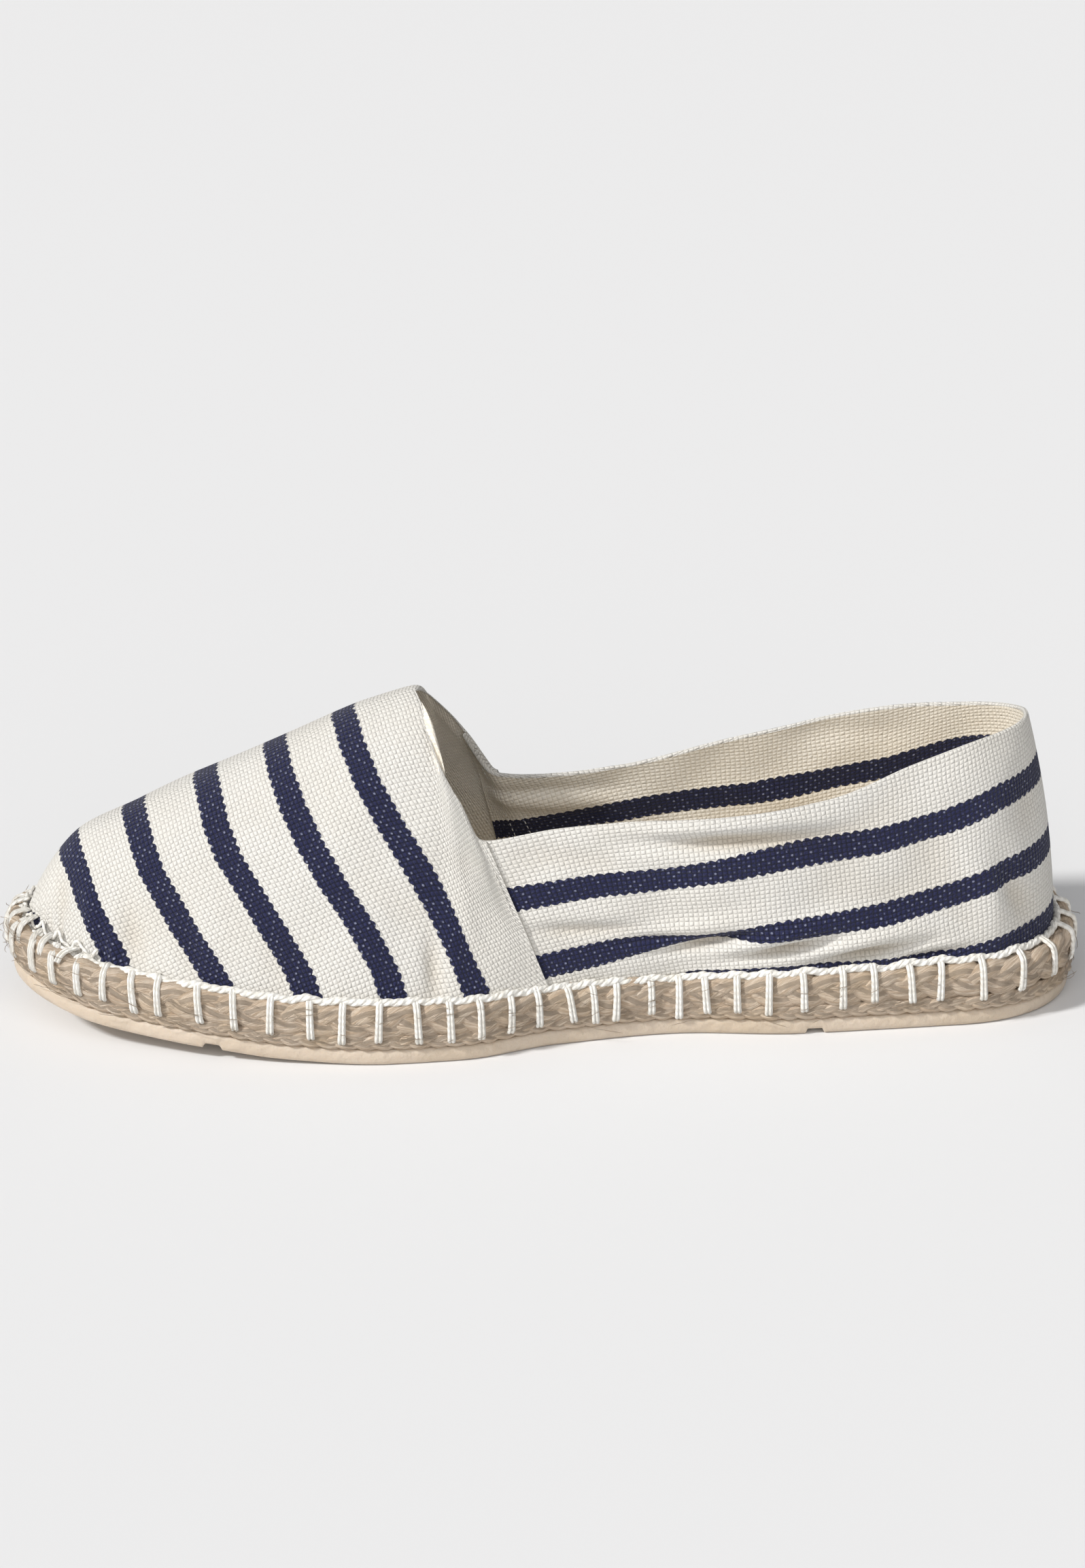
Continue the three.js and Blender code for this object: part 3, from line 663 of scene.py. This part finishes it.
def build_upper():
    pile_out, pile_in = Pile(), Pile()
    for side in ("medial", "lateral"):
        m = side == "medial"
        for zone in ("quarter", "vamp"):
            s = station_list(zone, side)
            rows = np.linspace(0, 1, NROW)
            P, h, fx = wall(side, s, rows)
            cloth, band = cloth_coords(side, zone, P, h, fx, s)
            n = normals(P, flip=m)
            if zone == "vamp":
                # the sections run in along the throat's edge, so the edge borrows the direction just below it
                j0 = int(0.84 * NROW)
                wgt = (smooth(0.78, 0.90, rows)[None, :] * (smooth(8.0, 8.8, s) * smooth(12.2, 10.8, s))[:, None])[:, :, None]
                n = n * (1 - wgt) + n[:, j0][:, None] * wgt
                n /= np.linalg.norm(n, axis=2, keepdims=True) + 1e-12
            hmax = h[:, -1:]
            d = crease(side, fx[:, None] + 0 * h, h, hmax)
            d += toe_gathers(side, fx[:, None] + 0 * h, h)
            # slow unevenness of unlined cloth
            X, Z = P[:, :, 0], P[:, :, 2]
            d += 0.22 * np.sin(X * 0.11 + (0.7 if m else 2.0)) * np.sin(Z * 0.17 + X * 0.05) + 0.12 * np.sin(X * 0.31 + Z * 0.23)
            fade_foot = smooth(0.0, 2.5, h)
            nearer = smooth(APEX - 2.2, APEX, s)[:, None]
            fade_ridge = nearer * smooth(0, 16, hmax - h) + (1 - nearer) * 1.0
            d = d * (0.25 + 0.75 * fade_foot) * fade_ridge
            tip = smooth(LAST, LAST - 1.0, s)[:, None]
            d = d * tip
            back = np.where(s[:, None] < 1.0, smooth(0, 1.0, s)[:, None], 1.0)
            d = d * back
            if zone == "vamp":
                lift = 0.95 * np.exp(-((s - SEAM) / 1.5) ** 2)[:, None] * fade_ridge
                d = d + lift
            O = P + n * d[:, :, None]
            thick = np.full(h.shape, CLOTH)
            if zone == "vamp":
                thick *= 1 - 0.7 * smooth(0.8, 1.0, rows)[None, :] * (smooth(8.6, 9.4, s) * smooth(12.5, 11.0, s))[:, None]
            I = O - n * thick[:, :, None]
            keep = rope_top(I[:, :, 0]) + GAP
            I[:, :, 2] = np.maximum(I[:, :, 2], keep)
            # painted shade: the band layer's second slot carries how deep each crease trough is, used to darken the
            # canvas there
            band = np.stack([band[:, :, 0], np.clip(-d, 0, 3.0) / 3.0], -1)
            # rounded top edge
            open_ = s < APEX + 1e-6 if zone == "vamp" else s < 99
            pile_out.grid(O, flip=m, cloth=cloth, band=band)
            pile_in.grid(I, flip=not m, cloth=cloth, band=band)
            k = np.where(open_)[0]
            if len(k) > 1:
                a, b, nn = O[k, -1], I[k, -1], n[k, -1]
                upv = O[k, -1] - O[k, -2]
                upv /= np.linalg.norm(upv, axis=1, keepdims=True) + 1e-9
                prof = []
                for th in np.linspace(0, np.pi, 7):
                    prof.append((a + b) / 2 + (a - b) / 2 * math.cos(th) + upv * (CLOTH / 2) * math.sin(th))
                R = np.stack(prof, 1)
                cu = cloth[k, -1][:, None] + np.stack([0 * np.linspace(0, 1.9, 7), np.linspace(0, 1.9, 7)], -1)[None]
                bu = np.repeat(np.array([[[9.9, 0.0]]]) + np.zeros((len(k), 1, 1)), 7, 1)
                pile_out.grid(R, flip=m, cloth=cu, band=bu)
            # foot edge
            R = np.stack([I[:, 0], O[:, 0]], 1)
            pile_out.grid(R, flip=m, cloth=cloth[:, :2], band=band[:, :2])
            if zone == "vamp":
                # the vamp's cut edge over the quarter
                R = np.stack([O[0], P[0] + n[0] * (crease(side, fx[:1, None] + 0 * h[:1], h[:1], hmax[:1])[0][:, None] * 0.6 - 0.3)], 1)
                pile_out.grid(R, flip=m, cloth=np.repeat(cloth[0][:, None], 2, 1), band=np.repeat(np.array([[[9.9, 0.0]]]) + np.zeros((len(h[0]), 1, 1)), 2, 1))
    a = pile_out.build("upper_canvas", MAT_CANVAS)
    b = pile_in.build("upper_inside", MAT_INSIDE)
    return a, b


upper_out, upper_in = build_upper()

# ------------------------------------------------------------------ the sole's edge as a closed walk


class Walk:
    """The sole's outline set in by `inset`, walked toe tip, medial side, heel, lateral side, by arc length."""

    def __init__(self, inset=0.0, line=None):
        t = np.linspace(1, 0, 900)
        xm, ym = outline(t, "medial", inset) if line is None else line(t, "medial")
        xl, yl = outline(t[::-1], "lateral", inset) if line is None else line(t[::-1], "lateral")
        P = np.concatenate([np.stack([xm, ym], 1), np.stack([xl, yl], 1)[1:]])
        d = np.linalg.norm(np.diff(P, axis=0), axis=1)
        self.s = np.concatenate([[0], np.cumsum(d)])
        self.P = P
        self.length = self.s[-1]
        # even resampling, smoothed a little at the ends
        k = np.linspace(0, self.length, 2401)[:-1]
        Q = np.stack([np.interp(k, self.s, P[:, i]) for i in (0, 1)], 1)
        for _ in range(4):
            Q = (np.roll(Q, 1, 0) + 2 * Q + np.roll(Q, -1, 0)) / 4
        T = np.roll(Q, -1, 0) - np.roll(Q, 1, 0)
        T /= np.linalg.norm(T, axis=1, keepdims=True)
        self.k, self.Q, self.T = k, Q, T
        self.N = np.stack([T[:, 1], -T[:, 0]], 1)
        c = Q.mean(0)
        if ((Q - c) * self.N).sum() < 0:
            self.N = -self.N

    def at(self, s):
        s = np.mod(s, self.length)
        f = lambda A: np.stack([np.interp(s, np.append(self.k, self.length), np.append(A[:, i], A[0, i])) for i in (0, 1)], -1)
        n = f(self.N)
        return f(self.Q), n / (np.linalg.norm(n, axis=-1, keepdims=True) + 1e-9)

    def find(self, x, side):
        """Arc length of the point of that side whose x is nearest."""
        ok = (self.Q[:, 1] > 0) if side == "medial" else (self.Q[:, 1] < 0)
        i = np.where(ok)[0][np.argmin(np.abs(self.Q[ok, 0] - x))]
        return self.k[i]


EDGE = Walk(0.0)


def place(s, out, z):
    """Point at arc s, `out` mm outside the sole's edge, z above the ground line given as a function of x or a number."""
    q, n = EDGE.at(s)
    p = q + n * np.asarray(out)[..., None]
    zz = z(q[..., 0]) if callable(z) else z
    return np.concatenate([p, np.broadcast_to(zz, q.shape[:-1])[..., None]], -1)


# ------------------------------------------------------------------ tread


def build_tread():
    n = 500
    f = np.linspace(0, 1, n)
    fine = [np.arccos(1 - 2 * np.clip((g + np.linspace(-5, 5, 60)) / SOLE_LENGTH, 0, 1)) / np.pi for g in GROOVES]
    t = np.sort(np.concatenate([f, *fine]))
    inset = 1.1
    edge = [(2.4, 0.0), (1.8, 0.05), (1.35, 0.16), (1.12, 0.32), (1.05, 0.55), (1.12, 0.8), (1.4, 0.95), (1.9, 1.0)]
    across = [-0.9, -0.6, -0.3, 0.001, 0.3, 0.6, 0.9]
    loops = []

    def low(x):
        z = ground(x)
        for g in GROOVES:
            z = z + 1.25 * (1 - smooth(1.7, 2.5, np.abs(x - g)))
        return z

    def put(x, y, share):
        lo, hi = low(x), ground(x) + TREAD
        return np.stack([x, y, lo + share * (hi - lo)], 1)

    for v in across:
        x, y = outline(t, "lateral" if v < 0 else "medial", edge[0][0])
        loops.append(put(x, y * abs(v), 0.0))
    for i, sh in edge:
        x, y = outline(t, "medial", i)
        loops.append(put(x, y, sh))
    for v in across[::-1]:
        x, y = outline(t, "lateral" if v < 0 else "medial", edge[-1][0])
        loops.append(put(x, y * abs(v), 1.0))
    for i, sh in edge[::-1]:
        x, y = outline(t, "lateral", i)
        loops.append(put(x, y, sh))
    P = np.stack(loops, 1)
    pile = Pile()
    uv = P[:, :, :2]
    pile.grid(P, closed_v=True, flip=True, cloth=uv)
    return pile.build("tread", MAT_RUBBER)


tread = build_tread()

# ------------------------------------------------------------------ rope sole: a core and plaited strands
BASE = lambda x: ground(x) + TREAD + GAP


def build_core():
    n = 260
    t = np.linspace(0, 1, n)
    edge = [(2.2, 0.0), (2.0, 0.3), (2.0, 0.8), (2.6, 0.93), (3.4, 0.97)]
    across = [-0.66, -0.33, 0.001, 0.33, 0.66]
    loops = []

    def put(x, y, share):
        return np.stack([x, y, BASE(x) + share * (rope_top(x) - 0.4 - BASE(x))], 1)

    for v in across:
        x, y = outline(t, "lateral" if v < 0 else "medial", edge[0][0])
        loops.append(put(x, y * abs(v), 0.0))
    for i, sh in edge:
        x, y = outline(t, "medial", i)
        loops.append(put(x, y, sh))
    for v in across[::-1]:
        x, y = outline(t, "lateral" if v < 0 else "medial", edge[-1][0])
        loops.append(put(x, y * abs(v), edge[-1][1]))
    for i, sh in edge[::-1]:
        x, y = outline(t, "lateral", i)
        loops.append(put(x, y, sh))
    P = np.stack(loops, 1)
    pile = Pile()
    pile.grid(P, closed_v=True, flip=True, cloth=P[:, :, [0, 2]])
    return pile.build("rope_core", MAT_CORE)


def strand(pile, centre_out, centre_up, size_out, size_up, sides=10, step=1.1, v0=0.0):
    """A strand round the whole sole. centre_out(s), centre_up(s): mm outside the edge, mm above the rope's base."""
    n = int(EDGE.length / (step * 1))
    s = np.linspace(0, EDGE.length, n, endpoint=False)
    q, nn = EDGE.at(s)
    C = np.concatenate([q + nn * centre_out(s)[:, None], (BASE(q[:, 0]) + centre_up(s, q[:, 0]))[:, None]], 1)
    T = np.roll(C, -1, 0) - np.roll(C, 1, 0)
    T /= np.linalg.norm(T, axis=1, keepdims=True)
    E1 = np.concatenate([nn, np.zeros((n, 1))], 1)
    E1 -= (E1 * T).sum(1, keepdims=True) * T
    E1 /= np.linalg.norm(E1, axis=1, keepdims=True)
    E2 = np.cross(T, E1)
    a = np.linspace(0, 2 * np.pi, sides, endpoint=False)
    # strands are uneven along their length
    w = 1 + 0.07 * np.sin(s * 2 * np.pi * 61 / EDGE.length + v0) + 0.05 * np.sin(s * 2 * np.pi * 143 / EDGE.length + 2 * v0)
    P = C[:, None] + w[:, None, None] * (size_out * np.cos(a)[None, :, None] * E1[:, None] + size_up * np.sin(a)[None, :, None] * E2[:, None])
    run = s[:, None] + 0 * a[None, :] + v0 * 37
    around = np.broadcast_to(a[None, :] * (size_out + size_up) / 2, run.shape)
    # fibres twist round the strand
    uv = np.stack([run, around + run * 0.28], -1)
    idx = pile.grid(P, closed_u=False, closed_v=True, cloth=uv)
    # close the walk
    last = idx[-1]
    first = idx[0]
    pile.f.append(np.stack([last[:-1], first[:-1], first[1:], last[1:]], -1))


def build_rope():
    pile = Pile()
    two = 2 * np.pi / EDGE.length
    # broad upper plait: three strands
    turns = round(EDGE.length / 25.2)
    for k in range(3):
        ph = 2 * np.pi * k / 3
        strand(
            pile,
            lambda s, ph=ph: -1.95 + 0.42 * np.sin(2 * (s * two * turns + ph)),
            lambda s, x, ph=ph: 7.35 + (rope_top(x) - BASE(x) - 11.2) * 0.6 + 2.35 * np.sin(s * two * turns + ph),
            1.75, 2.75, 14, 0.8, k + 1.0,
        )
    # narrow lower plait, laid on the tread
    turns2 = round(EDGE.length / 13.5)
    for k in range(3):
        ph = 2 * np.pi * k / 3 + 0.4
        strand(
            pile,
            lambda s, ph=ph: -1.55 + 0.3 * np.sin(2 * (s * two * turns2 + ph)),
            lambda s, x, ph=ph: 1.75 + 0.85 * np.sin(s * two * turns2 + ph),
            1.25, 1.25, 10, 0.7, k + 5.0,
        )
    # flat plait on the rim's top, seen round the toe and heel
    turns3 = round(EDGE.length / 24.0)
    for k in range(3):
        ph = 2 * np.pi * k / 3 + 1.1
        strand(
            pile,
            lambda s, ph=ph: -3.7 + 1.5 * np.sin(s * two * turns3 + ph),
            lambda s, x, ph=ph: rope_top(x) - BASE(x) - 1.45 + 0.35 * np.sin(2 * (s * two * turns3 + ph)),
            1.5, 1.15, 8, 1.1, k + 9.0,
        )
    ob = pile.build("rope_plaits", MAT_JUTE)
    return ob


core = build_core()
plaits = build_rope()

# loose jute hairs
def build_hairs():
    pile = Pile()
    n = 420
    for i in range(n):
        s0 = rng.uniform(0, EDGE.length)
        L = rng.uniform(3, 11)
        up0 = rng.uniform(0.6, 10.5)
        k = np.linspace(0, 1, 7)
        lift = rng.uniform(0.15, 1.5) * (1.8 if rng.random() < 0.12 else 1.0)
        s = s0 + L * k * rng.choice([-1, 1])
        out = 0.15 + lift * np.sin(np.pi * k * rng.uniform(0.4, 1.0)) + 0.15 * rng.standard_normal(7).cumsum() * 0.3
        q, nn = EDGE.at(s)
        z = BASE(q[:, 0]) + up0 + rng.uniform(-3, 3) * k ** 1.4 + 0.2 * rng.standard_normal(7).cumsum() * 0.4
        z = np.maximum(z, ground(q[:, 0]) + 0.6)
        C = np.concatenate([q + nn * out[:, None], z[:, None]], 1)
        pile.tube(C, 0.075, 3, v0=s0)
    return pile.build("jute_hairs", MAT_JUTE)


hairs = build_hairs()

# ------------------------------------------------------------------ blanket stitching
NEAR = [260.3, 254.1, 247.3, 241.1, 234.3, 225.0, 216.1, 206.5, 197.3, 188.9, 179.9, 171.4, 163.1, 155.2, 147.1, 140.6, 133.4, 126.9,
        120.2, 111.8, 104.8, 98.7, 90.7, 82.5, 74.1, 64.2, 56.3, 47.4, 39.1, 28.8, 17.8, 9.4, 2.6]


def foot_walk():
    def line(t, side):
        f = (1 - np.cos(np.pi * t)) / 2
        x = FEATHER_HEEL + (SOLE_LENGTH - FEATHER_HEEL - FEATHER_TOE) * f
        return x, feather(x, side)
    return Walk(line=line)


FOOT = foot_walk()


def foot_at(q):
    """Nearest point of the canvas line, with its outward normal, for points q (n, 2)."""
    d = ((FOOT.Q[None] - q[:, None]) ** 2).sum(-1)
    i = d.argmin(1)
    return FOOT.Q[i], FOOT.N[i]


def stitch(pile, s0, drop=9.0, lean=0.0, spread=0.45, r=0.56):
    """Double strand from the canvas line over the rope's rim and down its side."""
    for k in (-1, 1):
        q0, n0 = EDGE.at(np.array([s0]))
        f0, fn = foot_at(q0)
        rim = np.linalg.norm(q0[0] - f0[0])
        # stations of the path: (mm outside the edge, height relative to rope top, along)
        out = np.array([-rim - 0.2, -rim + 0.9, -rim * 0.45, -0.1, 0.42, 0.5, 0.42, 0.3, -0.6])
        up = np.array([1.3, 1.75, 1.15, 0.15, -1.6, -0.45 * drop, -0.72 * drop, -0.93 * drop, -1.05 * drop])
        al = np.linspace(0, 1, 9) * lean + k * spread * np.array([0.9, 0.9, 0.85, 0.8, 0.8, 0.85, 0.95, 1.05, 1.0])
        t = np.linspace(0, 8, 25)
        f = lambda a: np.interp(t, np.arange(9), a)
        o, u, a = f(out), f(up), f(al)
        for A in (o, u, a):
            A[1:-1] = (A[:-2] + 2 * A[1:-1] + A[2:]) / 4
        q, nn = EDGE.at(s0 + a)
        z = rope_top(q[:, 0]) + u
        C = np.concatenate([q + nn * o[:, None], z[:, None]], 1)
        pile.tube(C, r * (1 + 0.05 * rng.standard_normal()), 8, up=(nn[0, 0], nn[0, 1], 0.2), v0=s0)


def build_stitches():
    pile = Pile()
    marks = []
    for x in NEAR:
        marks.append(EDGE.find(x, "medial"))
    s = marks[-1] + 8.6
    end = EDGE.length + marks[0]
    while s < end - 5:
        marks.append(s)
        s += 8.3 + rng.normal(0, 0.55)
    for m in marks:
        q, _ = EDGE.at(np.array([m]))
        x = q[0, 0]
        drop = np.interp(x, [0, 60, 110, 180, 240, 270], [8.6, 8.8, 8.0, 9.2, 7.8, 7.0]) + rng.normal(0, 0.5)
        stitch(pile, m, drop, rng.normal(0.5, 0.7))
    # the whipped edge: two plies wound round the canvas's lower edge
    n = 2400
    s = np.linspace(0, FOOT.length, n, endpoint=False)
    q, nn = FOOT.at(s)
    marks_f = []
    for m in marks:
        qm, _ = EDGE.at(np.array([m]))
        d = ((FOOT.Q - qm) ** 2).sum(1).argmin()
        marks_f.append(FOOT.k[d])
    marks_f = np.sort(np.array(marks_f))
    near = np.abs((s[:, None] - marks_f[None] + FOOT.length / 2) % FOOT.length - FOOT.length / 2).min(1)
    sag = np.cos(np.clip(near / 4.2, 0, 1) * np.pi) * 0.45
    j = np.interp(s, np.linspace(0, FOOT.length, 160), rng.normal(0, 0.28, 160))
    for k in range(3):
        ph = 2 * np.pi * k / 3
        w = s * 2 * np.pi * round(FOOT.length / 7.5) / FOOT.length + ph
        o = 0.75 + 0.48 * np.cos(w) + 0.3 * j
        z = rope_top(q[:, 0]) + 1.15 + 0.48 * np.sin(w) + 0.5 * sag + j
        C = np.concatenate([q + nn * o[:, None], z[:, None]], 1)
        pile.tube(np.concatenate([C, C[:1]]), 0.60, 7, v0=k * 11.0, capped=False)
    return pile.build("blanket_stitches", MAT_THREAD), marks


stitches, MARKS = build_stitches()


def build_toe_stitches():
    """Over-sewing that holds the toe's gathers: pairs of strands from the cloth, over the rim and a little way down."""
    pile = Pile()
    places = np.arange(-30, 31, 5.6) + rng.normal(0, 0.6, 11)
    for s0 in places:
        q0, n0 = EDGE.at(np.array([s0]))
        f0, fn = foot_at(q0)
        rim = np.linalg.norm(q0[0] - f0[0])
        start = rng.uniform(1.6, 3.4)
        inn = rim + rng.uniform(0.6, 1.5)
        lean = rng.normal(0, 2.4)
        end = rng.uniform(1.2, 3.6)
        for k in (-1, 1):
            t = np.linspace(0, 1, 18)
            out = -inn + (inn - 0.15) * np.clip(t * 1.35, 0, 1) ** 0.9
            up = start * (1 - t) ** 0.9 + 0.75 * np.sin(np.pi * np.clip(t * 1.1, 0, 1)) - end * smooth(0.55, 1.0, t)
            q, nn = EDGE.at(s0 + lean * (t - 0.5) + k * 0.42)
            z = rope_top(q[:, 0]) + up
            C = np.concatenate([q + nn * out[:, None], z[:, None]], 1)
            pile.tube(C, rng.uniform(0.40, 0.52), 7, up=(nn[0, 0], nn[0, 1], 0.3), v0=s0 * 3)
    # one thread running in and out of the gathers above the rim
    s = np.linspace(-34, 34, 260)
    q, nn = EDGE.at(s)
    fq, fn = foot_at(q)
    wob = 1.5 * np.sin(s * 0.95) + 0.7 * np.sin(s * 2.1 + 1)
    C = np.concatenate([fq + fn * (0.25 + 0.35 * np.cos(s * 1.9))[:, None], (rope_top(fq[:, 0]) + 3.6 + wob)[:, None]], 1)
    for _ in range(6):
        C[1:-1] = (C[:-2] + 2 * C[1:-1] + C[2:]) / 4
    pile.tube(C, 0.42, 7, v0=5.0)
    return pile.build("toe_stitches", MAT_THREAD)


toe = build_toe_stitches()

# fine seams: thin raised lines of thread on the cloth


def seam_lines():
    pile = Pile()
    for side in ("medial", "lateral"):
        for ds, lift in ((0.16, 0.95),):
            s = np.full(1, SEAM + ds)
            P, h, fx = wall(side, np.array([SEAM + ds - 1e-3, SEAM + ds, SEAM + ds + 1e-3]), np.linspace(0, 1, 240))
            n = normals(P, flip=side == "medial")
            d = crease(side, fx[:, None] + 0 * h, h, h[:, -1:])
            C = (P + n * (d[:, :, None] * 0.9 + lift))[1]
            run = h[1]
            L = run[-1]
            k = 0.8
            while k < L - 1.6:
                i0, i1 = np.searchsorted(run, k), np.searchsorted(run, k + 1.35)
                seg = C[i0:i1]
                if len(seg) > 3:
                    z = np.sin(np.linspace(0, np.pi, len(seg)))[:, None] * n[1, i0:i1] * 0.10
                    pile.tube(seg + z - n[1, i0:i1] * 0.10, 0.16, 5, v0=k)
                k += 2.0
    # the two lines inside, at each side seam
    for side in ("medial", "lateral"):
        for ds in (-0.02, 0.42):
            P, h, fx = wall(side, np.array([SEAM + ds - 1e-3, SEAM + ds, SEAM + ds + 1e-3]), np.linspace(0.03, 0.985, 240))
            n = normals(P, flip=side == "medial")
            d = crease(side, fx[:, None] + 0 * h, h, h[:, -1:])
            C = (P + n * (d[:, :, None] * 0.9 - CLOTH + 0.0))[1]
            run = h[1]
            k = 0.4
            while k < run[-1] - 1.2:
                i0, i1 = np.searchsorted(run, k), np.searchsorted(run, k + 1.3)
                if i1 - i0 > 3:
                    pile.tube(C[i0:i1], 0.15, 5, v0=k)
                k += 1.9
    return pile.build("seam_threads", MAT_THREAD)


seams = seam_lines()

# ------------------------------------------------------------------ joined to the root body, with the CAD pieces they stand for hidden
for ob, node, slot in (
    (upper_out, "upper", "canvas"), (upper_in, "upper", "canvas"), (seams, "upper", "canvas"),
    (core, "rope_sole", "jute"), (plaits, "rope_sole", "jute"), (hairs, "rope_sole", "jute"),
    (stitches, "rope_sole", "canvas"), (toe, "rope_sole", "canvas"),
    (tread, "outsole", "tread_rubber"),
):
    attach(ob, "root")
for ob in (upper_out, upper_in):
    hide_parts("upper")
for ob in (core, plaits):
    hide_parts("rope_sole")
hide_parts("outsole")

# insole: the CAD piece in sock cloth
sock = Nodes("sock_cloth")
o = sock.mm()
w = sock.noise(o, 1.2, 3, 0.6)
sock.link(sock.mix(sock.ramp(w, 0.3, 0.7), (0.60, 0.52, 0.40), (0.68, 0.60, 0.48)), sock.bsdf.inputs["Base Color"])
sock.bsdf.inputs["Roughness"].default_value = 0.95
sock.link(sock.bump(w, 0.0004, 0.6), sock.bsdf.inputs["Normal"])
for ob in list(bpy.context.scene.objects):
    if ob.type == "MESH" and ob.name.split(".")[0] == "insole":
        ob.data.materials.clear()
        ob.data.materials.append(sock.m)

# ------------------------------------------------------------------ floor, light, camera
me = bpy.data.meshes.new("floor")
S = 12.0
me.from_pydata([(-S, -S, 0), (S, -S, 0), (S, S, 0), (-S, S, 0)], [], [(0, 1, 2, 3)])
floor = bpy.data.objects.new("floor", me)
bpy.context.scene.collection.objects.link(floor)
fl = Nodes("floor_paper")
fl.bsdf.inputs["Base Color"].default_value = (0.80, 0.80, 0.802, 1)
fl.bsdf.inputs["Roughness"].default_value = 0.9
fl.bsdf.inputs["Specular IOR Level"].default_value = 0.1
me.materials.append(fl.m)

ELEV, TURN, DIST, FOCAL = 22.5, 5.4, 1300.0, 7500.0
W, H = 1596.0, 2306.0
e, p = math.radians(ELEV), math.radians(TURN)
back = np.array([math.sin(p) * math.cos(e), math.cos(p) * math.cos(e), math.sin(e)])
right = np.cross(-back, [0, 0, 1.0])
right /= np.linalg.norm(right)
up = np.cross(right, -back)
anchor = np.array([135.0, 0.0, 0.0])
u0, v0 = 803.0, 1455.0
pos = anchor - (right * (u0 - W / 2) / FOCAL * DIST + up * -(v0 - H / 2) / FOCAL * DIST - back * DIST)
pos = (pos + np.array([MOVE[0], MOVE[1], 0])) / 1000.0
cam = bpy.data.cameras.new("camera")
cam.sensor_fit = "AUTO"
cam.sensor_width = 36.0
cam.lens = FOCAL / H * 36.0
cam.clip_end = 20
cam_ob = bpy.data.objects.new("camera", cam)
M = Matrix([[right[0], up[0], back[0], pos[0]], [right[1], up[1], back[1], pos[1]], [right[2], up[2], back[2], pos[2]], [0, 0, 0, 1]])
cam_ob.matrix_world = M
bpy.context.scene.collection.objects.link(cam_ob)
bpy.context.scene.camera = cam_ob
bpy.context.scene.view_settings.view_transform = "Standard"


# the light comes from the upper left of the picture (+X), a little from the front (+Y)
def distant(name, loc, strength, angle, colour):
    L = bpy.data.lights.new(name, "SUN")
    L.energy = strength
    L.angle = math.radians(angle)
    L.color = colour
    ob = bpy.data.objects.new(name, L)
    ob.rotation_euler = (-Vector(loc)).to_track_quat("-Z", "Y").to_euler()
    ob.location = loc
    bpy.context.scene.collection.objects.link(ob)


distant("key", (3.0, 1.45, 2.8), 2.82, 7, (1.0, 0.992, 0.98))
distant("fill", (0.2, 3.7, 2.7), 1.15, 60, (0.99, 0.99, 1.0))
world = bpy.data.worlds.new("studio")
bpy.context.scene.world = world
world.use_nodes = True
bg = world.node_tree.nodes["Background"]
bg.inputs[0].default_value = (0.985, 0.988, 1.0, 1)
bg.inputs[1].default_value = 0.27
